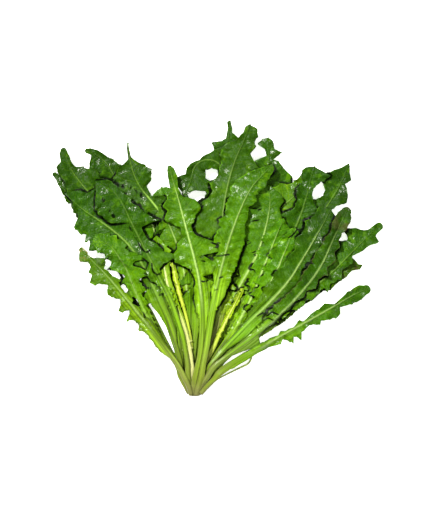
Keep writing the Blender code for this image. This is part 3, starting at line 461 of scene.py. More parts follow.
# ------------------------------------------------- margins of the drawn leaves
# plan points along the margins, from the stalk to the tip: tips of teeth and
# lobes, and the notches between them.  A leaf or a side that isn't here gets
# its teeth by rule.
MARGINS = {
    "centre_right_leaf": {
        "left": [(240, 276), (246, 262), (247, 252), (250, 246), (247, 240), (250, 230), (248, 220), (254, 212), (252, 204),
                 (258, 197), (260, 188), (264, 184)],
        "right": [(258, 270), (266, 258), (268, 248), (274, 238), (273, 229), (280, 220), (279, 209), (284, 203), (280, 194),
                  (276, 186)],
    },
    "right_long_leaf": {
        "left": [(248, 312), (258, 300), (262, 290), (270, 282), (274, 272), (282, 266), (286, 257), (293, 250), (294, 240),
                 (303, 232), (305, 222), (313, 217), (318, 207), (326, 204)],
        "right": [(258, 322), (272, 312), (278, 303), (288, 298), (293, 288), (300, 282), (303, 272), (305, 265),
                  (311, 265), (319, 258), (318, 248), (323, 240), (323, 231), (330, 222), (330, 212)],
    },
    "folded_leaf": {
        "left": [(209, 226), (207, 216), (202, 208), (204, 199), (207, 190), (218, 181), (219, 173), (213, 169), (206, 169),
                 (204, 176), (206, 185), (202, 191), (194, 194), (187, 199)],
        "right": [(232, 214), (236, 198), (232, 186), (233, 172), (230, 158), (222, 150), (210, 154), (199, 161), (189, 167),
                  (185, 176), (186, 184), (184, 191), (182, 199)],
    },
    "winged_stalk_leaf": {
        "left": [(184, 342), (178, 326), (171, 309), (166, 299), (164, 291), (160, 285), (158, 278), (162, 273), (158, 275),
                 (152, 271), (155, 266), (153, 260), (150, 250)],
        "right": [(190, 336), (186, 322), (180, 305), (175, 290), (171, 276), (169, 257), (168, 248)],
    },
    "far_left_leaf": {
        "left": [(160, 350), (150, 337), (145, 331), (139, 329), (140, 325), (136, 320), (128, 320), (132, 315),
                 (130, 311), (118, 311), (122, 305), (121, 299), (110, 295), (108, 290), (109, 285), (100, 283),
                 (91, 284), (95, 281), (94, 276), (89, 273), (92, 268), (88, 262), (80, 262), (79, 257)],
        "right": [(160, 334), (148, 317), (143, 312), (138, 305), (133, 303), (135, 298), (126, 291), (122, 287),
                  (120, 283), (124, 279), (117, 275), (104, 268), (107, 262), (105, 257), (96, 257), (89, 253)],
    },
    "low_right_leaf": {
        "left": [(225, 362), (240, 353), (254, 345), (266, 338), (273, 336), (277, 335), (280, 330), (284, 331),
                 (288, 328), (293, 327), (299, 319), (303, 321), (309, 315), (316, 309), (318, 309), (324, 303),
                 (333, 304), (342, 297), (348, 291), (358, 285), (367, 286)],
        "right": [(232, 366), (246, 359), (258, 351), (270, 346), (281, 343), (282, 339), (292, 342), (292, 336),
                  (301, 340), (300, 332), (308, 325), (319, 325), (320, 321), (330, 319), (339, 315), (338, 308),
                  (350, 304), (360, 300), (368, 293)],
    },
    "left_upper_leaf": {
        "left": [(84, 200), (78, 193), (68, 191), (68, 183), (60, 176), (58, 169), (62, 162), (61, 155)],
        "right": [(104, 190), (101, 178), (97, 170), (88, 170), (83, 167), (76, 167), (70, 158)],
    },
    "left_big_leaf": {
        "left": [(169, 335), (160, 318), (153, 306), (148, 294), (140, 272), (131, 262), (120, 254), (108, 250), (91, 252), (96, 243), (89, 243), (90, 237),
                 (83, 234), (77, 228), (84, 219), (77, 210), (73, 201)],
        "right": [(158, 276), (150, 262), (147, 250), (141, 240), (138, 226), (128, 218), (118, 212), (110, 204),
                  (104, 196), (98, 192), (88, 194), (80, 192), (71, 192)],
    },
    "left_over_leaf": {
        "left": [(152, 282), (147, 270), (150, 262), (143, 256), (144, 250), (140, 245), (136, 237), (133, 231),
                 (136, 224), (130, 223), (120, 224), (110, 223), (103, 218), (98, 211), (97, 203), (98, 193), (95, 184)],
        "right": [(166, 284), (160, 268), (166, 262), (172, 256), (164, 251), (158, 245), (150, 240), (145, 235),
                  (143, 229), (150, 224), (157, 221), (150, 216), (140, 207), (133, 203), (129, 197), (120, 190),
                  (113, 183), (104, 179)],
    },
    "left_needle_leaf": {
        "left": [(138, 215), (126, 196), (118, 186), (117, 176), (120, 168), (126, 166), (129, 160), (128, 150)],
        "right": [(163, 212), (160, 199), (152, 196), (148, 188), (152, 180), (153, 171), (145, 167), (137, 163),
                  (132, 158), (130, 148)],
    },
    "left_curled_leaf": {
        "left": [(112, 197), (106, 184), (102, 175), (96, 170), (92, 162), (92, 156)],
        "right": [(126, 186), (122, 172), (117, 163), (108, 157), (100, 152), (91, 149)],
    },
    "front_left_leaf": {
        "left": [(197, 312), (195, 300), (194, 288), (196, 283), (193, 277), (190, 270), (184, 266), (176, 262), (173, 255),
                 (177, 249), (178, 243), (183, 237), (181, 228), (172, 224), (165, 219), (168, 213), (163, 208),
                 (168, 200), (166, 195), (171, 190), (169, 180), (168, 172)],
        "right": [(208, 312), (206, 300), (206, 290), (209, 280), (203, 279), (205, 270), (207, 262), (203, 260), (204, 255),
                  (212, 249), (214, 242), (207, 240), (197, 237), (193, 232), (192, 225), (196, 216), (202, 210),
                  (200, 205), (194, 200), (184, 199), (179, 190), (178, 177), (174, 169)],
    },
    "big_top_leaf": {
        "left": [(199, 262), (196, 243), (201, 236), (199, 222), (205, 212), (206, 200), (212, 192), (209, 184),
                 (213, 183), (219, 174), (221, 165), (222, 150), (226, 145), (236, 142), (243, 134), (245, 128)],
        "right": [(226, 240), (229, 222), (233, 213), (237, 203), (240, 196), (247, 186), (252, 177), (255, 168),
                  (252, 162), (250, 155), (256, 148), (254, 145), (257, 137), (257, 131)],
    },
    "front_centre_leaf": {
        "left": [(209, 312), (212, 296), (211, 288), (214, 283), (213, 273), (216, 266), (214, 257), (219, 250), (219, 244),
                 (213, 243), (216, 235), (221, 228), (218, 220), (225, 217), (226, 205), (230, 197), (229, 190),
                 (238, 181), (247, 174), (259, 170)],
        "right": [(219, 305), (224, 296), (229, 284), (233, 272), (239, 258), (243, 245), (246, 236), (244, 226),
                  (248, 216), (248, 208), (255, 203), (255, 196), (263, 189), (268, 181), (273, 171)],
    },
    "top_right_narrow_leaf": {
        "left": [(246, 196), (249, 184), (255, 172), (258, 161), (266, 156), (264, 148), (264, 141)],
        "right": [(276, 196), (286, 188), (285, 184), (290, 177), (284, 169), (278, 161), (273, 163), (282, 153),
                  (274, 150), (273, 142)],
    },
    "top_dark_leaf": {
        "left": [(209, 180), (214, 168), (211, 157), (214, 152), (211, 144), (221, 146), (226, 138), (228, 128), (227, 122)],
        "right": [(240, 180), (240, 165), (236, 155), (234, 147), (232, 140), (232, 130), (232, 121)],
    },
    "front_right_leaf": {
        "left": [(262, 318), (275, 303), (284, 297), (289, 291), (298, 280), (303, 270), (311, 262), (314, 252),
                 (320, 247), (322, 238), (329, 232), (331, 222), (336, 214), (342, 208)],
        "right": [(257, 335), (265, 327), (273, 322), (280, 314), (289, 308), (293, 301), (302, 297), (306, 290), (314, 287),
                  (317, 279), (325, 275), (326, 267), (333, 262), (333, 252), (338, 247), (337, 240), (345, 230), (350, 218), (349, 210)],
    },
    "centre_rib_leaf": {
        "left": [(201, 262), (198, 250), (202, 240), (197, 230), (199, 220), (192, 212), (195, 205), (189, 200), (194, 196)],
        "right": [(222, 262), (224, 250), (220, 240), (223, 228), (218, 218), (221, 208), (213, 204), (210, 196), (204, 194)],
    },
    "far_right_leaf": {
        "left": [(318, 268), (328, 262), (334, 255), (343, 245), (346, 238), (344, 231), (353, 234), (355, 230),
                 (362, 231), (368, 229), (376, 223)],
        "right": [(330, 284), (340, 279), (342, 269), (352, 262), (351, 256), (362, 251), (368, 246), (378, 243),
                  (373, 237), (380, 229)],
    },
    "right_curled_leaf": {
        "left": [(306, 288), (314, 281), (322, 278), (330, 272), (341, 263), (352, 262), (358, 264)],
        "right": [(312, 300), (322, 291), (330, 290), (334, 285), (345, 277), (352, 270), (360, 269)],
    },
    "far_top_right_leaf": {
        "left": [(296, 238), (301, 226), (309, 214), (310, 202), (312, 196), (318, 197), (324, 190), (322, 181),
                 (331, 172), (341, 168), (347, 163)],
        "right": [(322, 230), (331, 219), (330, 211), (336, 206), (345, 204), (347, 196), (344, 185), (351, 180),
                  (349, 173), (349, 167)],
    },
    "ragged_top_leaf": {
        "left": [(281, 238), (286, 224), (289, 212), (296, 204), (296, 190), (302, 183), (301, 171), (305, 168), (307, 163)],
        "right": [(302, 232), (307, 222), (310, 208), (312, 196), (319, 189), (323, 182), (330, 177), (324, 174), (322, 168)],
    },
    "right_inner_leaf": {
        "left": [(262, 222), (266, 206), (270, 197), (274, 188), (282, 184), (290, 184), (298, 178), (300, 172)],
        "right": [(242, 308), (248, 296), (253, 282), (262, 262), (272, 240), (284, 218), (290, 207), (296, 205), (300, 197), (308, 191), (306, 182), (307, 175)],
    },
}


# ------------------------------------------------------------ fine leaf sheets
ROWS = (2.2, 1.3)  # plan units between two rows of a leaf, for hidden and for seen layers
SIDES = (6, 11)  # columns on each side of the midrib, for the same
AIR = 0.25 * MM  # least air between two leaves
FOOT_Y = 393.6  # plan line of the cut at the foot of the head
FINE = 0.6  # plan units in a cell of the fine height map
FINE_SHAPE = (int((MAP_Y1 - MAP_Y0) / FINE), int((MAP_X1 - MAP_X0) / FINE))


def blade_start(length, table):
    rows = np.array(table, float)
    top = rows[:, 1].argmax()
    return length * float(np.interp(4.2, rows[: top + 1, 1], rows[: top + 1, 0]))


def sweep_at(s, start, length):
    """How far a side point is drawn back toward the stalk, per unit off the midrib."""
    rise = np.clip((s - start + 8) / 18.0, 0, 1)
    fall = np.clip((length * 0.97 - s) / (length * 0.16), 0, 1)
    return 0.42 * rise * fall


def to_the_cut(line, along, angle):
    """The same line with its way on to the cut at the foot, where arc lengths are negative."""
    k = int(np.searchsorted(along, 17.0))
    way = line[k + 1] - line[k]
    way = way / np.hypot(*way)
    end = np.array([CROWN[0] + 0.2 + 7.0 * math.sin(angle), FOOT_Y - 2.6 * math.sin(angle) ** 2])
    reach = np.hypot(*(line[k] - end))
    bend = line[k] - way * reach * 0.5
    t = np.linspace(1, 0, 15)[:-1, None]
    foot = (1 - t) ** 2 * line[k] + 2 * t * (1 - t) * bend + t ** 2 * end
    full = np.vstack([foot, line[k:]])
    runs = np.hypot(*np.diff(full, axis=0).T)
    far = np.concatenate([[0], np.cumsum(runs)])
    at_cut = far[len(foot)] - along[k]
    return full, far - at_cut, at_cut


def rule_margin(length, table, side, seed):
    """Notches, lobes and teeth of one margin: (s, half width) pairs."""
    rng = np.random.default_rng(1000 + seed * 7 + side)
    rows = np.array(table, float)
    wide = lambda s: float(np.interp(s / length, rows[:, 0], rows[:, 1 + side]))
    start = blade_start(length, table)
    keys = [(0.0, wide(0)), (start * 0.5, wide(start * 0.5)), (start * 0.8, wide(start * 0.8))]
    s = start * 0.74
    # small backward teeth on the winged stalk
    while s < start + 6:
        step = rng.uniform(5, 8)
        w = wide(s)
        keys += [(s, w * 0.92), (s + step * 0.16, w + rng.uniform(0.9, 2.6)), (s + step * 0.4, w * 0.98)]
        s += step
    while s < length * 0.90:
        step = rng.uniform(12.0, 19.0)
        w = wide(s + step * 0.3) * 1.15
        deep = rng.uniform(0.46, 0.74)
        keys += [
            (s, w * deep),
            (s + step * 0.14, w * rng.uniform(0.95, 1.12)),
            (s + step * 0.24, w * rng.uniform(0.84, 0.92)),
            (s + step * 0.36, w * rng.uniform(0.90, 1.02)),
            (s + step * 0.46, w * rng.uniform(0.70, 0.80)),
            (s + step * 0.60, w * rng.uniform(0.76, 0.88)),
            (s + step * 0.72, w * rng.uniform(0.58, 0.68)),
            (s + step * 0.82, w * rng.uniform(0.60, 0.70)),
        ]
        s += step
    last = s
    for share in (0.15, 0.4, 0.65, 0.85):
        at = last + (length - last) * share
        keys.append((at, wide(at) * rng.uniform(0.86, 1.06)))
    keys.append((length, wide(length) * 0.3))
    return np.array(keys)


def drawn_margin(points, line, along, length, table, side, seed):
    """A margin through drawn points, with the rule's teeth before the first one."""
    pts = np.array(points, float)
    start = blade_start(length, table)
    d = np.hypot(pts[:, None, 0] - line[None, :, 0], pts[:, None, 1] - line[None, :, 1])
    at = d.argmin(axis=1)
    w = d.min(axis=1)
    s = along[at]
    s = s + sweep_at(s, start, length) * w
    # rows can't run backward: a later point lies a little further on
    for k in range(1, len(s)):
        s[k] = max(s[k], s[k - 1] + 0.9)
    rule = rule_margin(length, table, side, seed)
    keep = rule[rule[:, 0] < s[0] - 3]
    keys = np.vstack([keep, np.column_stack([s, w])])
    keys = keys[keys[:, 0] < length - 0.6]
    return np.vstack([keys, [(length, 0.6)]])


def waves(seed, count, low, high):
    """A smooth random field of (s, a), about -1 to 1."""
    rng = np.random.default_rng(seed)
    turn = rng.uniform(0, 2 * np.pi, count)
    size = rng.uniform(low, high, count)
    phase = rng.uniform(0, 2 * np.pi, count)

    def field(s, a):
        out = 0
        for k in range(count):
            out = out + np.sin((s * np.cos(turn[k]) + a * np.sin(turn[k])) * 2 * np.pi / size[k] + phase[k])
        return out / np.sqrt(count * 1.2)

    return field


def blur(field, rounds=1):
    for _ in range(rounds):
        p = np.pad(field, ((1, 1), (0, 0)), mode="edge")
        field = 0.25 * p[:-2] + 0.5 * p[1:-1] + 0.25 * p[2:]
        p = np.pad(field, ((0, 0), (1, 1)), mode="edge")
        field = 0.25 * p[:, :-2] + 0.5 * p[:, 1:-1] + 0.25 * p[:, 2:]
    return field


def cage_height(cage_z, cage_s, left, right, length):
    """The laid height of a leaf as a smooth map over (s, a): a callable."""
    off = np.arange(-22, 22.5, 1.0)
    rows = []
    for i in range(len(cage_s)):
        at = [ACROSS[j] * (left[i] if ACROSS[j] > 0 else right[i]) for j in range(5)]
        rows.append(np.interp(off, at, cage_z[i]))
    rows = np.array(rows)
    s = np.arange(0, length + 1.0, 1.0)
    full = np.column_stack([np.interp(s, cage_s, rows[:, k]) for k in range(len(off))])
    kernel = np.exp(-0.5 * (np.arange(-9, 10) / 3.5) ** 2)
    kernel /= kernel.sum()
    pad = np.pad(full, ((9, 9), (0, 0)), mode="edge")
    full = sum(kernel[k] * pad[k : k + len(s)] for k in range(19))
    full = blur(full, 3)

    def height(at_s, at_a):
        u = np.clip(at_s, 0, len(s) - 1.001)
        v = np.clip(at_a - off[0], 0, len(off) - 1.001)
        i, j = u.astype(int), v.astype(int)
        fu, fv = u - i, v - j
        return (full[i, j] * (1 - fu) * (1 - fv) + full[i + 1, j] * fu * (1 - fv)
                + full[i, j + 1] * (1 - fu) * fv + full[i + 1, j + 1] * fu * fv)

    return height


# per leaf: V of the two halves in degrees, ruffle and pucker in millimetres
STYLE = {
    "default": dict(vee=7.0, ruffle=2.8, pucker=1.1, roll=8.0),
    "front_left_leaf": dict(vee=-4.0, ruffle=2.4, pucker=1.5, roll=5.0),
    "front_centre_leaf": dict(vee=-6.0, ruffle=2.4, pucker=1.5, roll=6.0),
    "big_top_leaf": dict(vee=-5.0, ruffle=2.6, pucker=1.5, roll=6.0),
    "heart_leaf": dict(vee=14.0, ruffle=2.5, pucker=1.2, roll=6.0),
    "lime_streak_leaf": dict(vee=14.0, ruffle=2.5, pucker=1.2, roll=6.0),
    "winged_stalk_leaf": dict(vee=10.0, ruffle=1.6, pucker=0.6, roll=6.0),
    "right_curled_leaf": dict(vee=20.0, ruffle=3.6, pucker=0.9, roll=10.0),
    "left_curled_leaf": dict(vee=18.0, ruffle=2.0, pucker=0.8, roll=14.0),
}


# share of the length at which the blade begins, where the stalk keeps its wings
STALK_TO = {"winged_stalk_leaf": 0.46}
# half width of a rounded tip in plan units
ROUND_TIP = {
    "left_upper_leaf": 3.0, "left_outer_slim_leaf": 1.8, "far_right_leaf": 3.6, "low_right_leaf": 4.2,
    "front_right_leaf": 4.6, "front_left_leaf": 2.2, "far_left_leaf": 2.6, "left_curled_leaf": 2.2,
}
# leaves that are only a narrow strip of blade
SLIM = {"heart_leaf": 0.56, "lime_streak_leaf": 0.50}
# places where the surface shows between the leaves
OPEN = [
    [(206, 171), (212, 169), (218, 171), (218, 176), (215, 180), (209, 181), (206, 179)],
    [(188, 195), (194, 191), (203, 192), (203, 195), (196, 195), (190, 199)],
    [(321, 182), (324, 189), (322, 196), (314, 200), (311, 196), (313, 189)],
    [(340, 233), (345, 233), (347, 240), (341, 241)],
    [(330, 212), (336, 207), (346, 204), (352, 203), (349, 206), (342, 208), (334, 214)],
    [(84, 254), (91, 253), (106, 254), (107, 258), (96, 258)],
    [(107, 260), (112, 261), (112, 265), (108, 265)],
    [(109, 270), (117, 271), (126, 276), (124, 280), (114, 276)],
    [(122, 284), (127, 285), (131, 291), (126, 292)],
    [(133, 296), (138, 299), (141, 306), (136, 304)],
    [(143, 311), (147, 313), (149, 317), (145, 317)],
    [(148, 303), (152, 305), (159, 314), (167, 327), (172, 338), (178, 353), (175, 353), (164, 334), (155, 318)],
    [(262, 336), (274, 328), (286, 320), (298, 309), (306, 303), (314, 299), (330, 290), (336, 296), (324, 302), (310, 312),
     (299, 317), (288, 326), (274, 334), (262, 341)],
]
FILL_REACH = 10.0  # widest gap in plan units that a lower blade closes
FILL_UNDER = 4.0  # how far it goes on under the upper leaf


def cells_of(px, py):
    """Rows and columns of the fine map at plan positions."""
    row = np.clip((py - MAP_Y0) / FINE, 0, FINE_SHAPE[0] - 1).astype(int)
    col = np.clip((px - MAP_X0) / FINE, 0, FINE_SHAPE[1] - 1).astype(int)
    return row, col


def open_map():
    """The cells of the fine map that lie in an open place."""
    row, col = np.mgrid[0 : FINE_SHAPE[0], 0 : FINE_SHAPE[1]]
    x, y = MAP_X0 + (col + 0.5) * FINE, MAP_Y0 + (row + 0.5) * FINE
    out = np.zeros(FINE_SHAPE, bool)
    for ring in OPEN:
        inside = np.zeros(FINE_SHAPE, bool)
        for (x0, y0), (x1, y1) in zip(ring, ring[1:] + ring[:1]):
            if y0 != y1:
                inside ^= ((y0 > y) != (y1 > y)) & (x < (x1 - x0) * (y - y0) / (y1 - y0) + x0)
        out |= inside
    return out


def outline_of(index, leaf, angles):
    """The way of a leaf and the widths of its two halves, row by row."""
    name, layer, column, points, table, mid, tip, kind = leaf
    line, along = spine_of(crown_points(leaf, angles) + points)
    length = along[-1]
    line, along, foot = to_the_cut(line, along, angles[name])
    start = length * STALK_TO.get(name, blade_start(length, table) / length)
    drawn = MARGINS.get(name, {})
    keys = []
    for side, word in enumerate(("left", "right")):
        if word in drawn:
            keys.append(drawn_margin(drawn[word], line, along, length, table, side, index))
        else:
            keys.append(rule_margin(length, table, side, index))
    tip_r = ROUND_TIP.get(name, 1.0)
    s = np.concatenate([np.arange(-foot, length, ROWS[layer > 0]), keys[0][:, 0], keys[1][:, 0],
                        length - tip_r * np.array([1.0, 0.7, 0.45, 0.25, 0.1, 0.03]), [length]])
    s = np.unique(np.round(np.clip(s, -foot, length), 2))
    s = s[np.concatenate([[True], np.diff(s) > np.where(s[1:] > length - tip_r * 1.05, 0.06, 0.35)])]
    slim = 1 + (SLIM.get(name, 1.0) - 1) * np.clip((s - 20) / 40, 0, 1)
    widths = [np.interp(s, k[:, 0], k[:, 1]) * slim for k in keys]
    flare = 1 + 0.14 * np.clip((16 - s) / 18.0, 0, 1)
    widths = [np.maximum(w * flare, 0.25) for w in widths]
    # small uneven teeth between the larger ones
    rng = np.random.default_rng(20 + index)
    for side in (0, 1):
        cuts = np.cumsum(rng.uniform(2.8, 6.5, 160))
        high = rng.uniform(-1.3, 2.1, 160)
        k = np.searchsorted(cuts, s).clip(0, 159)
        low = np.concatenate([[0], cuts])[k]
        t = (s - low) / (cuts[k] - low)
        tooth = np.where(t < 0.25, t / 0.25, (1 - t) / 0.75) * high[k]
        amount = np.clip((widths[side] - 3.6) / 5.0, 0, 1) * np.clip((length - s) / 12.0, 0, 1)
        widths[side] = np.maximum(widths[side] + tooth * amount, 0.25)
        # a rounded end
        t = np.clip((length - s) / tip_r, 0, 1)
        ball = tip_r * np.sqrt(1 - (1 - t) ** 2)
        if name in ROUND_TIP:
            near = np.clip((s - length + 7 * tip_r) / (3 * tip_r), 0, 1)
            widths[side] = np.maximum(widths[side], tip_r * 1.1 * near)
            ball = ball * np.clip(widths[side] / tip_r, 1.0, 1.1)
        widths[side] = np.where(s > length - tip_r, np.maximum(ball, 0.25), widths[side])
    return dict(name=name, line=line, along=along, length=length, foot=foot, start=start, s=s, widths=widths)


def swept(out, off):
    """Arc lengths and plan positions of side points, one row of them per row of the leaf."""
    s = np.repeat(out["s"][:, None], off.shape[1], axis=1)
    back = sweep_at(s, out["start"], out["length"]) * np.abs(off)
    se = np.clip(s - back, -out["foot"], out["length"])
    here, normal = on_spine(out["line"], out["along"], se.ravel())
    plan = here + normal * off.ravel()[:, None]
    px, py = plan[:, 0].reshape(off.shape), plan[:, 1].reshape(off.shape)
    # the stalks run down side by side to the cut
    low = np.clip((py - 360) / 20.0, 0, 1)
    low = low * low * (3 - 2 * low)
    low = low * (1 - 0.8 * np.clip((py - 376) / 16.0, 0, 1))
    return s, se, px + low * (0.8 + 0.20 * (px - CROWN[0])), py


def close_gaps(outlines):
    """Lower blades go on under the leaves that lie over them, but not across an open place."""
    opened = open_map()
    cover = np.zeros(FINE_SHAPE, bool)
    for out in reversed(outlines):
        s = out["s"]
        ds = np.diff(s)
        for side, sign in ((0, 1), (1, -1)):
            w = out["widths"][side]
            # stop before an open place
            t = np.linspace(0, 1, 31)
            _, _, px, py = swept(out, sign * w[:, None] * t[None, :])
            hit = opened[cells_of(px, py)] & (w[:, None] * t[None, :] > 1.6)
            first = np.where(hit.any(axis=1), t[hit.argmax(axis=1)], 1.0)
            w = np.where(first < 1, np.maximum(w * first - 0.3, 1.2), w)
            w = np.minimum(w, out["widths"][side])
            if out["name"] not in SLIM:
                d = np.arange(0, FILL_REACH + FILL_UNDER + 0.1, 0.6)
                _, _, px, py = swept(out, sign * (w[:, None] + d[None, :]))
                at = cells_of(px, py)
                over, gap = cover[at], opened[at]
                over &= np.cumsum(gap, axis=1) == 0
                k = over.argmax(axis=1)
                found = over.any(axis=1) & (d[k] <= FILL_REACH)
                # stay under the leaf above
                after = ~over & (np.arange(len(d))[None, :] > k[:, None])
                stop = np.where(after.any(axis=1), d[after.argmax(axis=1)] - 0.6, d[-1])
                grow = np.where(found, np.minimum(d[k] + FILL_UNDER, stop), 0)
                grow = grow * np.clip((s - 46) / 34, 0, 1) * np.clip((out["length"] - s) / 10, 0, 1)
                for i in range(1, len(s)):
                    grow[i] = min(grow[i], grow[i - 1] + 1.5 * ds[i - 1])
                for i in range(len(s) - 2, -1, -1):
                    grow[i] = min(grow[i], grow[i + 1] + 1.5 * ds[i])
                w = w + grow
            out["widths"][side] = w
        t = np.linspace(-1, 1, 61)
        wide = np.where(t[None, :] > 0, out["widths"][0][:, None], out["widths"][1][:, None])
        _, _, px, py = swept(out, wide * t[None, :])
        cover[cells_of(px, py)] = True
        px, py = 0.5 * (px[1:] + px[:-1]), 0.5 * (py[1:] + py[:-1])
        cover[cells_of(px, py)] = True


def fine_leaf(index, leaf, out, laid, top, owner):
    """One leaf as a grid of rows and columns: its two faces, its plan data, and the map after it."""
    name, layer, column, points, table, mid, tip, kind = leaf
    style = STYLE.get(name, STYLE["default"])
    length, start, s, widths = out["length"], out["start"], out["s"], out["widths"]
    n = len(s)
    half = SIDES[layer > 0]

    stem = 1 - np.clip((s - start * 0.82) / (length * 0.16), 0, 1)
    stem = stem * stem * (3 - 2 * stem)
    share = s / length
    # half width of the midrib
    rib = 1.25 * stem + (1 - stem) * np.interp(share, [0.4, 0.7, 0.9, 1], [1.35, 0.95, 0.55, 0.2])

    off = np.zeros((n, 2 * half + 1))
    for side in (0, 1):
        w = widths[side]
        r = np.minimum(rib, w / 2.6)
        cols = np.zeros((n, half))
        cols[:, 0], cols[:, 1], cols[:, 2] = 0.5 * r, r, 1.7 * r
        rest = np.linspace(0, 1, half - 2)[1:]
        cols[:, 3:] = (1.7 * r)[:, None] + (w - 1.7 * r)[:, None] * rest[None, :]
        if side == 0:
            off[:, half + 1 :] = cols
        else:
            off[:, :half] = -cols[:, ::-1]
    A = np.abs(off)
    S, se, px, py = swept(out, off)
    W = np.where(off > 0, widths[0][:, None], widths[1][:, None])
    edge = A / np.maximum(W, 0.3)

    sheet, z_cage, cage_s, left, right = laid
    base = cage_height(z_cage, cage_s, left, right, length)(se, off)

    blade = (1 - stem)[:, None] * np.clip((length - S) / 10, 0.2, 1)
    rng = np.random.default_rng(50 + index)
    vee = math.tan(math.radians(style["vee"] + rng.uniform(-3, 3)))
    lift = A * vee * blade
    turn = np.sin(2 * np.pi * s / rng.uniform(70, 110) + rng.uniform(0, 6.28))[:, None]
    lift = lift + off * math.tan(math.radians(style["roll"])) * turn * blade
    # ruffled margins, unlike on the two sides
    for side, sign in ((0, 1), (1, -1)):
        size = rng.uniform(15, 24)
        phase = rng.uniform(0, 6.28)
        wob = np.sin(2 * np.pi * se / size + phase + 1.3 * np.sin(2 * np.pi * se / 47 + phase))
        wob2 = np.sin(2 * np.pi * se / (size * 0.43) + phase * 2)
        ruffle = (wob + 0.45 * wob2) * style["ruffle"] * MM * edge ** 2.1 * blade
        lift = lift + np.where(off * sign > 0, ruffle, 0)
    # side veins run forward from the midrib, and the blade swells between them
    pitch = 6.4
    vein = (se + 0.55 * A * 0.2 - 0.75 * A) / pitch + 0.35 * waves(300 + index, 3, 25, 60)(se, off)
    swell = np.abs(np.sin(np.pi * vein)) ** 0.8 - 0.6
    window = np.clip(edge * 4, 0, 1) * np.clip((1 - edge) * 3.2, 0, 1)
    lift = lift + style["pucker"] * MM * swell * window * blade
    lift = lift + 0.55 * style["pucker"] * MM * waves(500 + index, 7, 6, 13)(se, off) * np.clip(edge * 3, 0, 1) * blade
    lift = lift + 0.9 * MM * waves(700 + index, 5, 16, 40)(se, off) * np.clip(edge * 2, 0, 1) * blade

    # thickness and the shape of the upper face over the rib
    R = rib[:, None]
    taper = np.interp(share, [0, 0.5, 1], [1, 0.85, 0.25])[:, None]
    st = stem[:, None]
    round_edge = np.sqrt(np.clip(1 - (edge * 0.96) ** 2, 0.05, 1))
    slim = np.clip(s / 14.0, 0, 1)[:, None]
    t_stem = (3.9 - 0.8 * slim) * MM * round_edge
    t_blade = 0.55 * MM + 1.9 * MM * taper * np.exp(-((A / (R * 1.1)) ** 2))
    thick = t_stem * st + t_blade * (1 - st)
    crown_line = 0.30 * MM * np.exp(-((A / (0.75 * R)) ** 2)) - 0.28 * MM * np.exp(-(((A - 1.8 * R) / (0.7 * R)) ** 2))
    channel = -0.75 * MM * (1 - edge ** 2) * (0.35 + 0.65 * slim)
    over = crown_line * (1 - st) + channel * st + thick
    under = base + lift
    upper = under + over
    lower = under

    # lie clear of what is below
    need = top[cells_of(px, py)] + AIR - lower
    need = np.maximum(need, 0) * np.clip((S + 1) / 26.0, 0, 1) ** 1.3
    need = need * np.where((stem[:, None] > 0.5) & (edge > 0.66), 0, 1)
    rise = need.copy()
    for _ in range(26):
        rise = np.maximum(need, blur(rise) * 0.995)
    # a stalk is stiff across
    level = rise.max(axis=1, keepdims=True)
    rise = rise * (1 - st) + level * st
    upper, lower = upper + rise, lower + rise
    # and never below the surface
    rise = np.maximum(0.2 * MM - lower, 0)
    upper, lower = upper + rise, lower + rise

    # the map of what is on top now, from a denser copy of the upper face
    dense = []
    for field in (px, py, upper):
        f = np.empty((2 * n - 1, field.shape[1]))
        f[::2], f[1::2] = field, 0.5 * (field[1:] + field[:-1])
        g = np.empty((f.shape[0], 2 * f.shape[1] - 1))
        g[:, ::2], g[:, 1::2] = f, 0.5 * (f[:, 1:] + f[:, :-1])
        dense.append(g.ravel())
    mine = np.full(FINE_SHAPE, -1.0)
    np.maximum.at(mine, cells_of(dense[0], dense[1]), dense[2])
    spread = mine.copy()
    for dr in (-1, 0, 1):
        for dc in (-1, 0, 1):
            spread = np.maximum(spread, np.roll(mine, (dr, dc), axis=(0, 1)))
    data = dict(
        along=se / MM, side=off / MM, share=se / length, edge=edge,
        stem=np.repeat(stem[:, None], off.shape[1], axis=1),
        rib=np.exp(-((A / (R * 0.95)) ** 4)), base=S / MM,
    )
    owner = np.where(spread > top, index, owner)
    return px, py, upper, lower, data, np.maximum(top, spread), owner


# ways along which the painted shade in the gap beside an upper leaf is strongest
PAINTED_SHADE_WAYS = [
    [(72, 196), (84, 193), (98, 192), (101, 190)],
    [(98, 196), (97, 205), (102, 217), (113, 224), (128, 224), (143, 222)],
    [(112, 184), (124, 191), (134, 202), (146, 212), (158, 221)],
    [(136, 224), (146, 233), (158, 246), (172, 257)],
    [(152, 262), (160, 268), (166, 262)],
    [(122, 190), (113, 178), (106, 172)],
    [(163, 208), (166, 216)],
    [(96, 254), (106, 268), (118, 276)],
    [(128, 262), (136, 275), (146, 292)],
    [(164, 246), (172, 258), (176, 270)],
    [(192, 226), (198, 238), (206, 241)],
    [(203, 280), (201, 292), (199, 302)],
    [(244, 246), (238, 262), (229, 284), (221, 300)],
    [(214, 186), (204, 199), (205, 212)],
    [(222, 200), (225, 212), (220, 218)],
    [(212, 240), (219, 246), (214, 257)],
    [(298, 255), (290, 270), (280, 285), (271, 300), (262, 312)],
    [(304, 268), (311, 266), (319, 258)],
    [(341, 209), (332, 222), (326, 236), (322, 248), (316, 262)],
    [(309, 169), (320, 175), (332, 172)],
    [(272, 170), (280, 178), (292, 178)],
    [(283, 214), (291, 200), (300, 192)],
    [(262, 330), (276, 322), (286, 310), (298, 302), (312, 292), (326, 280)],
    [(343, 231), (336, 245), (326, 258)],
    [(236, 300), (242, 284), (250, 266)],
    [(300, 212), (306, 222), (300, 236)],
]


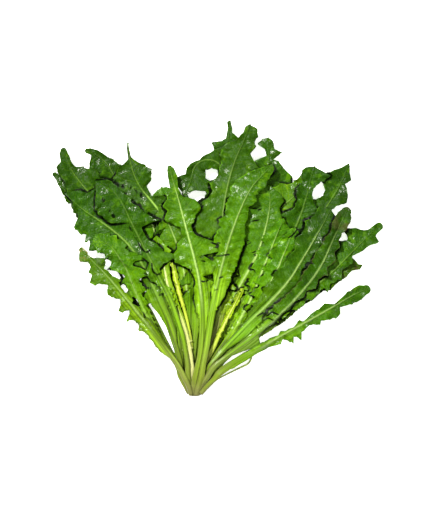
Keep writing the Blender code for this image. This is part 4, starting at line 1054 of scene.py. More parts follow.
def painted_shade_strength(px, py):
    """Strength of the painted shade: 1 along the deep gaps, some between the stalks and 0.2 elsewhere."""
    best = np.full(px.shape, 1e9)
    for way in PAINTED_SHADE_WAYS:
        for (x0, y0), (x1, y1) in zip(way[:-1], way[1:]):
            t = np.clip(((px - x0) * (x1 - x0) + (py - y0) * (y1 - y0)) / ((x1 - x0) ** 2 + (y1 - y0) ** 2), 0, 1)
            best = np.minimum(best, np.hypot(px - x0 - t * (x1 - x0), py - y0 - t * (y1 - y0)))
    # broken thin lines of painted shade where the stalks run side by side
    zone = np.clip((py - 236) / 24, 0, 1) * np.clip((352 - py) / 16, 0, 1) * np.clip((px - 120) / 20, 0, 1) * np.clip((300 - px) / 30, 0, 1)
    broken = np.clip(0.15 + 1.1 * waves(77, 9, 9, 22)(px, py), 0, 1)
    tips = np.clip((176 - px) / 14, 0, 1) * np.clip((244 - py) / 14, 0, 1)
    calm = np.clip((px - 241) / 5, 0, 1) * np.clip((284 - px) / 8, 0, 1) * np.clip((py - 172) / 8, 0, 1) * np.clip((248 - py) / 8, 0, 1)
    floor = 0.2 + 0.36 * zone * broken + 0.30 * tips * broken - 0.13 * calm
    return np.maximum(floor, (0.2 - 0.13 * calm) + 0.8 * np.exp(-((best / 5.0) ** 2)))


# short lines of painted shade where the blades fold or are torn, as plan ways
PAINTED_FOLD_SHADE_WAYS = [
    [(126.5, 184.3), (131, 188), (138, 193), (144, 197)],
    [(104.3, 199.3), (108.5, 207), (113.5, 214), (117, 220)],
    [(96, 181.2), (108.6, 180), (118.6, 183.5), (125, 187.8)],
    [(250, 208), (255, 208.5), (260, 210.7)],
    [(201, 257), (203, 256.5)],
    [(202, 260.5), (205, 261.5)],
    [(213, 255), (216, 256.5), (223, 255.5), (229, 254.5)],
    [(213, 243.5), (216, 244.5), (219.5, 243)],
    [(202, 280.7), (204.3, 281.5), (208.5, 279.7)],
    [(219.5, 277.5), (223, 276.3)],
    [(215, 289.5), (217.5, 289)],
    [(192, 270), (190.7, 272), (193.6, 276.4), (195, 281.4), (193.6, 286.4)],
    [(154.3, 272), (158.6, 274.7), (162, 272.6)],
    [(152.8, 263.5), (153, 268), (154.3, 272)],
    [(134.3, 235.7), (139.5, 244), (145, 251.4), (148, 252.5), (150.7, 250)],
    [(160, 295), (164.3, 292.9)],
    [(145.5, 284), (147, 287.5), (151.4, 288)],
    [(251, 222), (256.5, 220.7)],
    [(248, 240), (249.5, 243.5), (251, 245.7)],
    [(253, 252), (255, 255.5)],
    [(287.9, 237.9), (292.9, 234.3), (296.4, 229.3)],
    [(257, 315), (262, 312), (266, 315), (271, 311), (277, 314)],
    [(262, 320), (267, 317), (272, 319)],
    [(304, 265), (306.5, 262.5), (312.5, 264)],
    [(236, 284), (238, 289), (240, 291)],
]


def painted_fold_shade_of(px, py):
    """Painted shade along the folds and nicks: most on one, 0 away from it."""
    best = np.full(px.shape, 1e9)
    for way in PAINTED_FOLD_SHADE_WAYS:
        for (x0, y0), (x1, y1) in zip(way[:-1], way[1:]):
            t = np.clip(((px - x0) * (x1 - x0) + (py - y0) * (y1 - y0)) / ((x1 - x0) ** 2 + (y1 - y0) ** 2), 0, 1)
            best = np.minimum(best, np.hypot(px - x0 - t * (x1 - x0), py - y0 - t * (y1 - y0)))
    return 0.72 * np.exp(-((best / 0.6) ** 2))


def shade_of(px, py, z, top, owner, index):
    """How much painted shade a point gets where it lies beside what stands over it: 0 open, 1 in a gap."""
    total = np.zeros(px.shape)
    for k in range(12):
        a = 2 * math.pi * (k + 0.5) / 12
        worst = np.zeros(px.shape)
        for dist, weight in ((0.7, 1.0), (1.3, 0.85), (2.0, 0.45), (3.2, 0.2)):
            at = cells_of(px + dist * math.cos(a), py + dist * math.sin(a))
            high = np.where(owner[at] == index, 0, top[at] - z - 2.2 * MM)
            worst = np.maximum(worst, np.clip(high / (dist + 0.9), 0, 1.2) * weight)
        total += worst
    return np.clip(total / 12 * 1.25, 0, 1) * painted_shade_strength(px, py)


def solid_mesh(name, px, py, upper, lower, data):
    """A closed thin solid between two grids of the same rows and columns."""
    rows, cols = px.shape
    count = rows * cols
    points = np.empty((2 * count, 3))
    points[:count, 0] = points[count:, 0] = ((px - PLAN_CENTRE[0]) * UNIT).ravel()
    points[:count, 1] = points[count:, 1] = ((PLAN_CENTRE[1] - py) * UNIT).ravel()
    points[:count, 2] = (upper * UNIT).ravel()
    points[count:, 2] = (lower * UNIT).ravel()
    grid = np.arange(count).reshape(rows, cols)
    a, b, c, d = grid[:-1, :-1], grid[1:, :-1], grid[1:, 1:], grid[:-1, 1:]
    # columns run from the right-hand side to the left-hand side of the way
    face_up = np.stack([a, d, c, b], axis=-1).reshape(-1, 4)
    face_down = np.stack([a, b, c, d], axis=-1).reshape(-1, 4) + count
    rims = []
    for ring in (grid[:, 0], grid[-1, :], grid[::-1, -1], grid[0, ::-1]):
        p, q = ring[:-1], ring[1:]
        rims.append(np.stack([p, q, q + count, p + count], axis=-1))
    faces = np.concatenate([face_up, face_down] + rims)
    # outward faces: the upper face has to point to +Z
    n = np.cross(points[face_up[:, 1]] - points[face_up[:, 0]], points[face_up[:, 2]] - points[face_up[:, 0]])
    if n[:, 2].sum() < 0:
        faces = faces[:, ::-1]
    mesh = bpy.data.meshes.new(name)
    mesh.vertices.add(len(points))
    mesh.vertices.foreach_set("co", points.astype(np.float32).ravel())
    mesh.loops.add(faces.size)
    mesh.loops.foreach_set("vertex_index", faces.astype(np.int32).ravel())
    mesh.polygons.add(len(faces))
    mesh.polygons.foreach_set("loop_start", np.arange(0, faces.size, 4, dtype=np.int32))
    mesh.polygons.foreach_set("loop_total", np.full(len(faces), 4, dtype=np.int32))
    mesh.update(calc_edges=True)
    for key, field in data.items():
        layer = mesh.attributes.new("leaf_" + key, "FLOAT", "POINT")
        layer.data.foreach_set("value", np.tile(field.ravel(), 2).astype(np.float32))
    under = mesh.attributes.new("leaf_under", "FLOAT", "POINT")
    under.data.foreach_set("value", np.repeat([0.0, 1.0], count).astype(np.float32))
    mesh.shade_smooth()
    mesh.validate()
    return mesh


# ------------------------------------------------------------------ materials
class Nodes:
    """Short ways to add and join shader nodes."""

    def __init__(self, name):
        self.material = bpy.data.materials.new(name)
        self.material.use_nodes = True
        self.tree = self.material.node_tree
        self.shader = self.tree.nodes["Principled BSDF"]

    def put(self, value, socket):
        if isinstance(value, bpy.types.NodeSocket):
            self.tree.links.new(value, socket)
        elif value is not None:
            socket.default_value = value

    def attribute(self, name):
        node = self.tree.nodes.new("ShaderNodeAttribute")
        node.attribute_name = name
        return node.outputs["Fac"]

    def math(self, operation, a, b=None, clamp=False):
        node = self.tree.nodes.new("ShaderNodeMath")
        node.operation = operation
        node.use_clamp = clamp
        self.put(a, node.inputs[0])
        self.put(b, node.inputs[1])
        return node.outputs[0]

    def spread(self, value, low, high, to_low=0.0, to_high=1.0, smooth=True):
        node = self.tree.nodes.new("ShaderNodeMapRange")
        node.interpolation_type = "SMOOTHSTEP" if smooth else "LINEAR"
        self.put(value, node.inputs["Value"])
        node.inputs["From Min"].default_value = low
        node.inputs["From Max"].default_value = high
        node.inputs["To Min"].default_value = to_low
        node.inputs["To Max"].default_value = to_high
        return node.outputs[0]

    def mix(self, factor, a, b, kind="MIX"):
        node = self.tree.nodes.new("ShaderNodeMix")
        node.data_type = "RGBA"
        node.blend_type = kind
        node.clamp_result = True
        self.put(factor, node.inputs["Factor"])
        for value, socket in ((a, node.inputs[6]), (b, node.inputs[7])):
            self.put((*value, 1) if isinstance(value, tuple) else value, socket)
        return node.outputs[2]

    def vector(self, x, y, z):
        node = self.tree.nodes.new("ShaderNodeCombineXYZ")
        for value, socket in zip((x, y, z), node.inputs):
            self.put(value, socket)
        return node.outputs[0]

    def noise(self, vector, scale, detail=3.0, rough=0.55):
        node = self.tree.nodes.new("ShaderNodeTexNoise")
        self.put(vector, node.inputs["Vector"])
        node.inputs["Scale"].default_value = scale
        node.inputs["Detail"].default_value = detail
        node.inputs["Roughness"].default_value = rough
        return node.outputs["Fac"]

    def cells(self, vector, scale, feature="DISTANCE_TO_EDGE"):
        node = self.tree.nodes.new("ShaderNodeTexVoronoi")
        node.feature = feature
        self.put(vector, node.inputs["Vector"])
        node.inputs["Scale"].default_value = scale
        return node.outputs["Distance"]


def srgb(r, g, b):
    return tuple((c / 255 / 12.92) if c / 255 <= 0.04045 else ((c / 255 + 0.055) / 1.055) ** 2.4 for c in (r, g, b))


def lifted(c, gain, add):
    """A lighter tone of a green, with hardly more blue in it."""
    return (min(1, c[0] * gain + add), min(1, c[1] * gain + add), min(1, c[2] * gain + add * 0.12))


# tip, mid blade, lower blade, stalk, foot of the stalk, midrib
TONES = {
    "green": ((47, 88, 3), (65, 111, 2), (94, 134, 3), (118, 163, 11), (112, 123, 40), (151, 180, 99)),
    "dark": ((34, 73, 3), (47, 89, 3), (77, 122, 3), (108, 152, 11), (106, 118, 38), (124, 159, 67)),
    "heart": ((62, 106, 3), (126, 162, 8), (160, 182, 24), (168, 190, 50), (160, 168, 84), (212, 216, 128)),
    "pale": ((79, 124, 3), (97, 139, 4), (119, 153, 6), (200, 210, 122), (196, 194, 132), (205, 210, 150)),
    "violet": ((58, 105, 3), (79, 125, 3), (105, 141, 4), (106, 132, 20), (104, 106, 66), (151, 178, 108)),
    "purple": ((47, 82, 3), (58, 101, 2), (83, 126, 3), (115, 158, 14), (115, 121, 60), (149, 178, 99)),
    "brown_tip": ((54, 95, 3), (67, 114, 3), (95, 136, 3), (115, 158, 12), (118, 125, 57), (149, 178, 101)),
}
# how much the midrib stands out in colour on each leaf
RIB_SHOW = {
    "front_left_leaf": 1.15, "front_centre_leaf": 0.80, "big_top_leaf": 0.45, "left_big_leaf": 0.9,
    "low_right_leaf": 0.8, "left_pale_rib_leaf": 1.6, "left_mid_leaf": 1.1, "left_low_leaf": 0.4,
    "far_left_leaf": 0.55, "front_right_leaf": 0.7, "right_long_leaf": 0.9, "centre_right_leaf": 1.1,
    "right_broad_leaf": 1.2, "right_second_leaf": 1.1, "far_right_leaf": 0.5, "left_over_leaf": 0.35,
    "left_needle_leaf": 1.35, "left_upper_leaf": 0.8, "winged_stalk_leaf": 1.0, "centre_rib_leaf": 1.0,
}


# how light the blade is, against the tone of its kind
LIGHTNESS = {
    "right_long_leaf": 0.56, "front_right_leaf": 0.60, "big_top_leaf": 0.64, "front_left_leaf": 1.0,
    "front_centre_leaf": 0.98, "centre_right_leaf": 1.02, "left_upper_leaf": 0.72, "left_curled_leaf": 0.70,
    "left_needle_leaf": 0.80, "left_outer_slim_leaf": 0.72, "left_over_leaf": 0.84, "left_big_leaf": 0.88,
    "ragged_top_leaf": 0.84, "far_top_right_leaf": 0.80, "folded_leaf": 0.85, "under_leaf_3": 1.35,
    "left_pale_rib_leaf": 1.25, "left_mid_leaf": 1.2, "right_broad_leaf": 1.4, "right_second_leaf": 1.35, "low_right_leaf": 0.84,
    "right_inner_leaf": 1.22,
}
# red, green and blue of the stalk against the tone of its kind
STALK_GAIN = {
    "right_long_leaf": (0.60, 0.73, 0.4), "front_right_leaf": (0.64, 0.74, 0.44), "low_right_leaf": (0.66, 0.74, 0.46),
    "right_second_leaf": (0.90, 0.88, 0.7), "far_left_leaf": (0.86, 0.82, 0.6),
    "left_big_leaf": (0.76, 0.76, 0.6), "left_low_leaf": (0.80, 0.80, 0.7),
}
RIB_FADE = {"left_needle_leaf": (0.74, 0.82, 0.22)}
REDNESS = {"right_long_leaf": 0.84, "front_right_leaf": 0.82, "big_top_leaf": 0.94, "centre_right_leaf": 0.96,
           "front_centre_leaf": 0.97, "right_broad_leaf": 0.97, "right_second_leaf": 0.95, "low_right_leaf": 0.90}


def leaf_material(name, leaf, seed):
    kind = leaf[7]
    rng = np.random.default_rng(90 + seed)
    gain, warm = rng.uniform(0.86, 1.10), rng.uniform(0.94, 1.14)
    gain, warm = LIGHTNESS.get(leaf[0], gain), REDNESS.get(leaf[0], warm)
    tones = [srgb(*c) for c in TONES[kind]]
    tip, mid, low = ((c[0] * gain * warm, c[1] * gain, c[2] * gain) for c in tones[:3])
    stalk, foot, ribc = tones[3:]
    stalk = tuple(c * g for c, g in zip(stalk, STALK_GAIN.get(leaf[0], (1, 1, 1))))
    n = Nodes(name)
    along, side = n.attribute("leaf_along"), n.attribute("leaf_side")
    share, edge, stem = n.attribute("leaf_share"), n.attribute("leaf_edge"), n.attribute("leaf_stem")
    rib, base, under = n.attribute("leaf_rib"), n.attribute("leaf_base"), n.attribute("leaf_under")
    shade = n.attribute("leaf_shade")
    place = n.vector(along, side, seed * 3.7)
    soft = n.noise(place, 0.035, 3.0)
    patch = n.noise(place, 0.085, 4.0, 0.6)
    fine = n.noise(place, 0.32, 4.0, 0.6)
    # blade from its foot to the tip
    grade = n.math("ADD", share, n.math("MULTIPLY", n.math("SUBTRACT", soft, 0.5), 0.34))
    colour = n.mix(n.spread(grade, 0.42, 0.64), low, mid)
    if kind == "heart":
        colour = n.mix(n.spread(grade, 0.76, 0.90), colour, tip)
        colour = n.mix(n.spread(n.noise(place, 0.22, 3.0, 0.6), 0.50, 0.60, 0.0, 0.75), colour, srgb(96, 138, 6))
        colour = n.mix(n.spread(n.noise(place, 0.30, 2.0, 0.5), 0.58, 0.66, 0.0, 0.7), colour, srgb(216, 220, 116))
    else:
        colour = n.mix(n.spread(grade, 0.62, 0.95), colour, tip)
    # lighter and darker clouds
    colour = n.mix(n.spread(patch, 0.48, 0.70, 0.0, 0.62), colour, tuple(c * 0.42 for c in mid))
    colour = n.mix(n.spread(patch, 0.30, 0.46, 0.50, 0.0), colour, lifted(low, 1.25, 0.004))
    colour = n.mix(n.spread(fine, 0.45, 0.75, 0.0, 0.22), colour, tuple(c * 0.60 for c in tip))
    # side veins leave the midrib forward
    away = n.math("ABSOLUTE", side)
    wobble = n.math("MULTIPLY", n.math("SUBTRACT", n.noise(place, 0.05, 2.0), 0.5), 7.0)
    lane = n.math("DIVIDE", n.math("ADD", n.math("SUBTRACT", along, n.math("MULTIPLY", away, 0.72)), wobble), 10.5)
    tri = n.math("ABSOLUTE", n.math("SUBTRACT", n.math("FRACT", lane), 0.5))
    vein = n.spread(tri, 0.0, 0.06, 1.0, 0.0)
    net = n.spread(n.cells(place, 0.30), 0.0, 0.10, 1.0, 0.0)
    blade_only = n.math("SUBTRACT", 1.0, stem, clamp=True)
    fade = n.spread(edge, 0.25, 0.95, 1.0, 0.25)
    veins = n.math("MULTIPLY", n.math("MAXIMUM", n.math("MULTIPLY", vein, fade), n.math("MULTIPLY", net, 0.35)), blade_only)
    light = lifted(low, 1.4, 0.01)
    colour = n.mix(n.math("MULTIPLY", veins, 0.38), colour, light)
    # the stalk, with fine lines along it, paler at its foot
    lines = n.noise(n.vector(n.math("MULTIPLY", along, 0.02), side, seed * 1.3), 0.36, 3.0, 0.6)
    stalk_c = n.mix(n.spread(lines, 0.49, 0.60, 0.0, 0.85), stalk, tuple(c * 0.36 for c in stalk))
    stalk_c = n.mix(n.spread(lines, 0.34, 0.47, 0.80, 0.0), stalk_c, lifted(stalk, 1.5, 0.035))
    # where the blade begins it keeps the lines of the stalk
    strand = n.mix(n.spread(lines, 0.50, 0.58, 0.0, 0.9), lifted(low, 1.12, 0.004), tuple(c * 0.34 for c in low))
    strand = n.mix(n.spread(lines, 0.36, 0.46, 0.85, 0.0), strand, lifted(stalk, 1.25, 0.01))
    wings = n.math("MULTIPLY", n.spread(base, 122.0, 186.0, 0.66, 0.0), n.spread(edge, 0.55, 1.0, 1.0, 0.35))
    colour = n.mix(wings, colour, strand)
    stalk_c = n.mix(n.spread(edge, 0.45, 1.0, 0.0, 0.60), stalk_c, tuple(c * 0.85 for c in low))
    stalk_c = n.mix(n.spread(base, 2.0, 90.0, 0.80, 0.0), stalk_c, foot)
    streak = n.spread(n.noise(n.vector(n.math("MULTIPLY", along, 0.012), side, seed * 2.1), 0.9, 2.0), 0.46, 0.60, 0.0, 1.0)
    much = {"violet": 0.80, "purple": 0.55, "pale": 0.20}.get(kind, 0.28)
    near = n.math("MULTIPLY", streak, n.spread(base, 30.0, 170.0, much, much * 0.25))
    stalk_c = n.mix(near, stalk_c, srgb(112, 100, 74))
    stain = n.math("ADD", base, n.math("MULTIPLY", n.math("SUBTRACT", n.noise(place, 0.30, 3.0), 0.5), 9.0))
    stalk_c = n.mix(n.spread(stain, -14.0, 14.0, 0.90, 0.0), stalk_c, srgb(104, 102, 60))
    colour = n.mix(stem, colour, stalk_c)
    # midrib
    show = min(1.0, 0.78 * RIB_SHOW.get(leaf[0], 0.65))
    fade_from, fade_to, fade_left = RIB_FADE.get(leaf[0], (0.72, 1.0, 0.15))
    rib_on = n.math("MULTIPLY", n.math("MULTIPLY", rib, blade_only), n.spread(share, fade_from, fade_to, show, show * fade_left))
    colour = n.mix(rib_on, colour, tuple(min(1, c * max(1, RIB_SHOW.get(leaf[0], 0.65))) for c in ribc))
    # thin darker line on the margin, brownish or purple on some leaves
    rim = n.spread(edge, 0.88, 1.0, 0.0, 0.55)
    rim_c = srgb(78, 50, 44) if kind == "purple" else tuple(c * 0.45 for c in mid)
    colour = n.mix(n.math("MULTIPLY", rim, blade_only), colour, rim_c)
    # painted highlight: a pale line along stretches of the margin, as if the rim caught the light
    painted_rim_highlight = n.math("MULTIPLY", n.spread(edge, 0.86, 0.97, 0.0, 0.70), n.spread(n.noise(place, 0.07, 2.0), 0.48, 0.58))
    colour = n.mix(n.math("MULTIPLY", painted_rim_highlight, blade_only), colour, lifted(mid, 1.7, 0.015))
    if kind == "purple":
        tinge = n.math("MULTIPLY", n.spread(n.noise(place, 0.06, 2.0), 0.5, 0.66, 0.0, 0.45), n.spread(share, 0.80, 0.96, 0.0, 1.0))
        colour = n.mix(tinge, colour, srgb(78, 64, 40))
    if kind == "brown_tip":
        spot = n.math("MULTIPLY", n.spread(share, 0.91, 0.97, 0.0, 1.0), n.spread(n.noise(place, 0.16, 3.0), 0.40, 0.56, 0.0, 0.95))
        colour = n.mix(spot, colour, srgb(120, 108, 64))
    # the underside is paler and duller
    colour = n.mix(n.math("MULTIPLY", n.math("MULTIPLY", under, blade_only), 0.45), colour, srgb(104, 142, 56))
    # painted shade: the colour turns near black in the deep gaps beside a leaf that lies over this one and along the
    # painted folds, half as much on the stalks and never on the underside
    shade = n.math("MULTIPLY", shade, n.math("SUBTRACT", 1.0, under))
    dark = n.math("MULTIPLY", n.spread(shade, 0.08, 0.32, 0.0, 0.97, smooth=False), n.spread(stem, 0.0, 1.0, 1.0, 0.5))
    colour = n.mix(dark, colour, srgb(3, 12, 1))
    n.put(colour, n.shader.inputs["Base Color"])
    n.put(n.spread(n.noise(place, 0.09, 4.0, 0.7), 0.35, 0.68, 0.34, 0.50), n.shader.inputs["Roughness"])
    n.shader.inputs["Specular IOR Level"].default_value = 0.10
    # the wax shines in patches
    wax = n.math("MULTIPLY", n.spread(n.noise(n.vector(along, side, seed * 8.3), 0.045, 3.0, 0.6), 0.51, 0.66), n.spread(edge, 0.05, 0.2, 0.3, 1.0))
    wax = n.math("MULTIPLY", wax, n.math("SUBTRACT", 1.0, n.spread(shade, 0.04, 0.2)))
    n.put(n.math("MULTIPLY", wax, 0.80 if kind == "dark" else 0.58), n.shader.inputs["Coat Weight"])
    n.shader.inputs["Coat Roughness"].default_value = 0.25
    n.shader.inputs["Coat IOR"].default_value = 1.5
    # relief: sunken veins, small blisters between them, fine grain
    blister = n.cells(place, 0.24, "F1")
    relief = n.math("SUBTRACT", n.math("MULTIPLY", blister, 0.55), n.math("MULTIPLY", vein, 0.40))
    relief = n.math("ADD", relief, n.math("MULTIPLY", n.noise(place, 0.42, 3.0), 0.9))
    # short wrinkles along the side veins
    slant = n.math("SUBTRACT", n.math("MULTIPLY", along, 0.81), n.math("MULTIPLY", away, 0.59))
    climb = n.math("ADD", n.math("MULTIPLY", along, 0.12), n.math("MULTIPLY", away, 0.16))
    wrinkle = n.noise(n.vector(slant, climb, seed * 0.9), 0.34, 2.0, 0.5)
    relief = n.math("ADD", relief, n.math("MULTIPLY", wrinkle, 1.1))
    relief = n.math("MULTIPLY", relief, blade_only)
    relief = n.math("ADD", relief, n.math("MULTIPLY", n.math("MULTIPLY", lines, stem), 1.4))
    bump = n.tree.nodes.new("ShaderNodeBump")
    bump.inputs["Strength"].default_value = 0.85
    bump.inputs["Distance"].default_value = 0.0011
    n.put(relief, bump.inputs["Height"])
    n.put(bump.outputs["Normal"], n.shader.inputs["Normal"])
    soft_bump = n.tree.nodes.new("ShaderNodeBump")
    soft_bump.inputs["Strength"].default_value = 0.7
    soft_bump.inputs["Distance"].default_value = 0.0007
    n.put(relief, soft_bump.inputs["Height"])
    n.put(soft_bump.outputs["Normal"], n.shader.inputs["Coat Normal"])
    return n.material


def core_material():
    n = Nodes("stem_core_skin")
    coords = n.tree.nodes.new("ShaderNodeTexCoord").outputs["Object"]
    split = n.tree.nodes.new("ShaderNodeSeparateXYZ")
    n.put(coords, split.inputs[0])
    fibre = n.noise(n.vector(n.math("MULTIPLY", split.outputs[0], 420.0), n.math("MULTIPLY", split.outputs[1], 60.0),
                             n.math("MULTIPLY", split.outputs[2], 420.0)), 1.0, 4.0)
    colour = n.mix(n.spread(fibre, 0.35, 0.7), srgb(196, 206, 140), srgb(222, 226, 180))
    stain = n.noise(n.vector(n.math("MULTIPLY", split.outputs[0], 160.0), n.math("MULTIPLY", split.outputs[1], 160.0),
                             n.math("MULTIPLY", split.outputs[2], 160.0)), 1.0, 3.0)
    cut_y = to_world(*CROWN, 0)[1] - CORE_CUT
    near_cut = n.spread(split.outputs[1], cut_y + 0.0002, cut_y + 0.0034, 1.0, 0.0)
    colour = n.mix(n.math("MULTIPLY", near_cut, n.spread(stain, 0.3, 0.62, 0.35, 0.9)), colour, srgb(132, 122, 88))
    n.put(colour, n.shader.inputs["Base Color"])
    n.put(n.spread(fibre, 0.3, 0.7, 0.42, 0.62), n.shader.inputs["Roughness"])
    bump = n.tree.nodes.new("ShaderNodeBump")
    bump.inputs["Strength"].default_value = 0.6
    bump.inputs["Distance"].default_value = 0.0006
    n.put(fibre, bump.inputs["Height"])
    n.put(bump.outputs["Normal"], n.shader.inputs["Normal"])
    return n.material


def stalk_material():
    n = Nodes("broken_stalk_skin")
    coords = n.tree.nodes.new("ShaderNodeTexCoord").outputs["Object"]
    grain = n.noise(coords, 220.0, 3.0)
    colour = n.mix(n.spread(grain, 0.35, 0.65), srgb(128, 150, 40), srgb(160, 178, 78))
    n.put(colour, n.shader.inputs["Base Color"])
    n.put(n.spread(grain, 0.3, 0.7, 0.35, 0.55), n.shader.inputs["Roughness"])
    bump = n.tree.nodes.new("ShaderNodeBump")
    bump.inputs["Strength"].default_value = 0.4
    bump.inputs["Distance"].default_value = 0.0004
    n.put(grain, bump.inputs["Height"])
    n.put(bump.outputs["Normal"], n.shader.inputs["Normal"])
    return n.material


def floor_material():
    n = Nodes("floor_white")
    coords = n.tree.nodes.new("ShaderNodeTexCoord").outputs["Object"]
    grain = n.noise(coords, 9.0, 2.0)
    n.put(n.mix(grain, (0.93, 0.93, 0.93), (0.96, 0.96, 0.96)), n.shader.inputs["Base Color"])
    n.shader.inputs["Roughness"].default_value = 0.85
    n.shader.inputs["Emission Color"].default_value = (1, 1, 1, 1)
    n.shader.inputs["Emission Strength"].default_value = 0.7
    return n.material


# ---------------------------------------------------------------------- pieces
def core_piece():
    """The stem end with the ridges of the stalks that grow from it and a rough cut."""
    rows, cols = 26, 72
    points, faces = [], []
    cx, cy, _ = to_world(*CROWN, 0)
    cz = CORE_HEIGHT / 2 + CORE_LIFT
    u = np.linspace(0, 1, rows)
    for i in range(rows):
        t = u[i]
        if t < 0.62:  # the stub, from the cut toward the dome
            y = -CORE_CUT + (CORE_CUT + 0.0006) * (t / 0.62)
            wide = 0.86 + 0.14 * math.sin(t / 0.62 * math.pi / 2)
        else:
            a = (t - 0.62) / 0.38 * math.pi / 2
            y = 0.0006 + (CORE_RADIUS - 0.0008) * math.sin(a)
            wide = math.cos(a) * 0.995 + 0.005
        for j in range(cols):
            b = 2 * math.pi * j / cols
            ridge = 1 - 0.045 * abs(math.sin(b * 7.5)) * min(1, t * 3 + 0.3) + 0.012 * math.sin(b * 3 + 1)
            points.append((cx + CORE_RADIUS * wide * ridge * math.cos(b), cy + y,
                           cz + CORE_HEIGHT / 2 * wide * ridge * math.sin(b)))
    for i in range(rows - 1):
        for j in range(cols):
            k = (j + 1) % cols
            faces.append((i * cols + j, i * cols + k, (i + 1) * cols + k, (i + 1) * cols + j))
    # the cut face: rings to its middle, slightly dished and rough
    rng = np.random.default_rng(9)
    last = list(range(cols))
    for r in (0.9, 0.7, 0.5, 0.3, 0.12):
        ring = []
        for j in range(cols):
            b = 2 * math.pi * j / cols
            dish = 0.0005 * (1 - r) + rng.uniform(-1, 1) * 0.00008
            points.append((cx + CORE_RADIUS * 0.86 * r * math.cos(b), cy - CORE_CUT + dish,
                           cz + CORE_HEIGHT / 2 * 0.86 * r * math.sin(b)))
            ring.append(len(points) - 1)
        for j in range(cols):
            k = (j + 1) % cols
            faces.append((last[j], ring[j], ring[k], last[k]))
        last = ring
    faces.append(tuple(last))
    faces.append(tuple(reversed(range((rows - 1) * cols, rows * cols))))
    mesh = bpy.data.meshes.new("stem_end")
    mesh.from_pydata(points, [], faces)
    bm = bmesh.new()
    bm.from_mesh(mesh)
    if bm.calc_volume(signed=True) < 0:
        bmesh.ops.reverse_faces(bm, faces=bm.faces)
    bm.to_mesh(mesh)
    bm.free()
    mesh.shade_smooth()
    mesh.set_sharp_from_angle(angle=math.radians(50))
    mesh.materials.append(core_material())
    return bpy.data.objects.new("stem_end", mesh)


def stalk_piece():
    """The broken stalk: a slim tapered tube, bent at its kink and closed flat at its ends."""
    line, along = spine_of(STALK, step=1.0, rounds=2)
    at = np.linspace(0, along[-1], 46)
    sides = 14
    points, faces = [], []
    rng = np.random.default_rng(4)
    here, normal = on_spine(line, along, at)
    for i, s in enumerate(at):
        share = s / along[-1]
        lift = 0.0002 + 0.0035 * share ** 2
        radius = STALK_RADIUS * (1.0 - 0.25 * (1 - share)) * (1 + 0.05 * math.sin(i * 1.7))
        px, py = here[i]
        x, y, _ = to_world(px, py, 0)
        nx, ny = normal[i][0], -normal[i][1]
        for j in range(sides):
            b = 2 * math.pi * j / sides
            r = radius * (1 - 0.14 * max(0, math.sin(b)) ** 3)
            points.append((x + nx * r * math.cos(b), y + ny * r * math.cos(b), STALK_RADIUS + lift + r * math.sin(b)))
    for i in range(len(at) - 1):
        for j in range(sides):
            k = (j + 1) % sides
            faces.append((i * sides + j, i * sides + k, (i + 1) * sides + k, (i + 1) * sides + j))
    faces.append(tuple(reversed(range(sides))))
    faces.append(tuple(range((len(at) - 1) * sides, len(at) * sides)))
    mesh = bpy.data.meshes.new("thin_broken_stalk")
    mesh.from_pydata(points, [], faces)
    bm = bmesh.new()
    bm.from_mesh(mesh)
    if bm.calc_volume(signed=True) < 0:
        bmesh.ops.reverse_faces(bm, faces=bm.faces)
    bm.to_mesh(mesh)
    bm.free()
    mesh.shade_smooth()
    mesh.set_sharp_from_angle(angle=math.radians(55))
    mesh.materials.append(stalk_material())
    return bpy.data.objects.new("thin_broken_stalk", mesh)


def add_light(name, place, aim_at, size, power, colour):
    data = bpy.data.lights.new(name, "AREA")
    data.shape = "RECTANGLE"
    data.size, data.size_y = size
    data.energy = power
    data.color = colour
    obj = bpy.data.objects.new(name, data)
    bpy.context.scene.collection.objects.link(obj)
    obj.location = place
    way = Vector(aim_at) - Vector(place)
    obj.rotation_euler = way.to_track_quat("-Z", "Y").to_euler()
    return obj


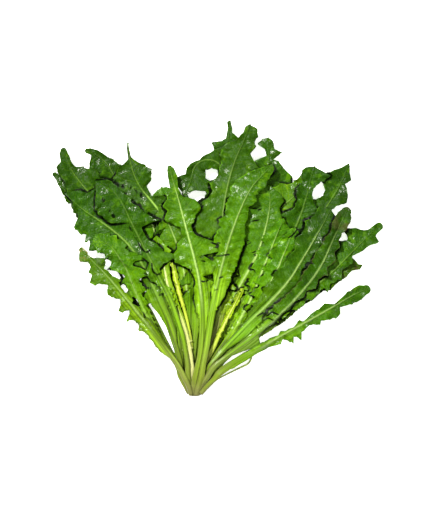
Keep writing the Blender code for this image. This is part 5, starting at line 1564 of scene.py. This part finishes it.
def main():
    scene = bpy.context.scene
    home = bpy.data.collections.new("endive_head_looks")
    scene.collection.children.link(home)

    angles = start_angles()
    top = np.zeros(MAP_SHAPE)
    fine_top = np.zeros(FINE_SHAPE)
    owner = np.full(FINE_SHAPE, -1)
    drawn = []
    outlines = [outline_of(index, leaf, angles) for index, leaf in enumerate(LEAVES)]
    close_gaps(outlines)
    for index, leaf in enumerate(LEAVES):
        z, top = lay(leaf, top, angles)
        sheet, thick, s, length, wide, line, along = cage_of(leaf, angles)
        left, right = half_widths(leaf[4], s / length)
        neck = np.clip(0.42 + 0.58 * s / 12.0, 0, 1)
        laid = (sheet, z, s, left * neck, right * neck)
        px, py, upper, lower, data, fine_top, owner = fine_leaf(index, leaf, outlines[index], laid, fine_top, owner)
        drawn.append((index, leaf, px, py, upper, lower, data))

    for index, leaf, px, py, upper, lower, data in drawn:
        # painted shade: dark beside the margins of higher leaves and along the painted folds
        data["shade"] = np.maximum(shade_of(px, py, upper, fine_top, owner, index), painted_fold_shade_of(px, py))
        mesh = solid_mesh(leaf[0] + "_skin", px, py, upper, lower, data)
        mesh.materials.append(leaf_material("mat_" + leaf[0], leaf, index))
        piece = bpy.data.objects.new(leaf[0] + "_skin", mesh)
        home.objects.link(piece)
        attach(piece, "root")
        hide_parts(leaf[0])

    for piece, node, slot in ((core_piece(), "stem_core", "stem"), (stalk_piece(), "broken_stalk", "stalk")):
        home.objects.link(piece)
        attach(piece, "root")
        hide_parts(node)

    # pale floor
    bm = bmesh.new()
    bmesh.ops.create_grid(bm, x_segments=2, y_segments=2, size=14.0)
    floor_mesh = bpy.data.meshes.new("floor")
    bm.to_mesh(floor_mesh)
    bm.free()
    floor_mesh.materials.append(floor_material())
    floor = bpy.data.objects.new("floor", floor_mesh)
    floor.location = (0, 0, -0.0003)
    scene.collection.objects.link(floor)

    # studio light: a steep key from above left, and three broad fills without gloss
    add_light("key", (-0.72, 0.80, 1.95), (0, 0, 0), (0.13, 0.13), 80, (1.0, 1.0, 0.90))
    over = add_light("overhead", (0.2, -0.1, 2.4), (0, 0, 0), (1.2, 1.2), 11, (1.0, 1.0, 0.92))
    fill = add_light("fill", (1.3, 0.1, 1.3), (0, 0, 0), (0.9, 0.9), 6, (1.0, 1.0, 0.92))
    front = add_light("front", (-0.3, -1.3, 1.3), (0, 0, 0), (0.9, 0.9), 7, (1.0, 1.0, 0.92))
    for light in (over, fill, front):
        light.visible_glossy = False
    world = bpy.data.worlds.new("studio")
    scene.world = world
    world.use_nodes = True
    back = world.node_tree.nodes["Background"]
    back.inputs["Color"].default_value = (1.0, 1.0, 0.93, 1)
    back.inputs["Strength"].default_value = 0.33
    world.cycles_visibility.glossy = False

    # the camera looks straight down, like the photograph
    data = bpy.data.cameras.new("camera")
    data.sensor_fit = "VERTICAL"
    data.sensor_height = 36.0
    distance = 2.0
    data.lens = 36.0 * distance / (520 * UNIT)
    data.clip_end = 20
    camera = bpy.data.objects.new("camera", data)
    scene.collection.objects.link(camera)
    x, y, _ = to_world(217.5, 260.0, 0)
    camera.location = (x, y, distance)
    camera.rotation_euler = (0, 0, 0)
    scene.camera = camera
    scene.view_settings.view_transform = "Standard"
    scene.view_settings.look = "None"


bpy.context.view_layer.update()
main()
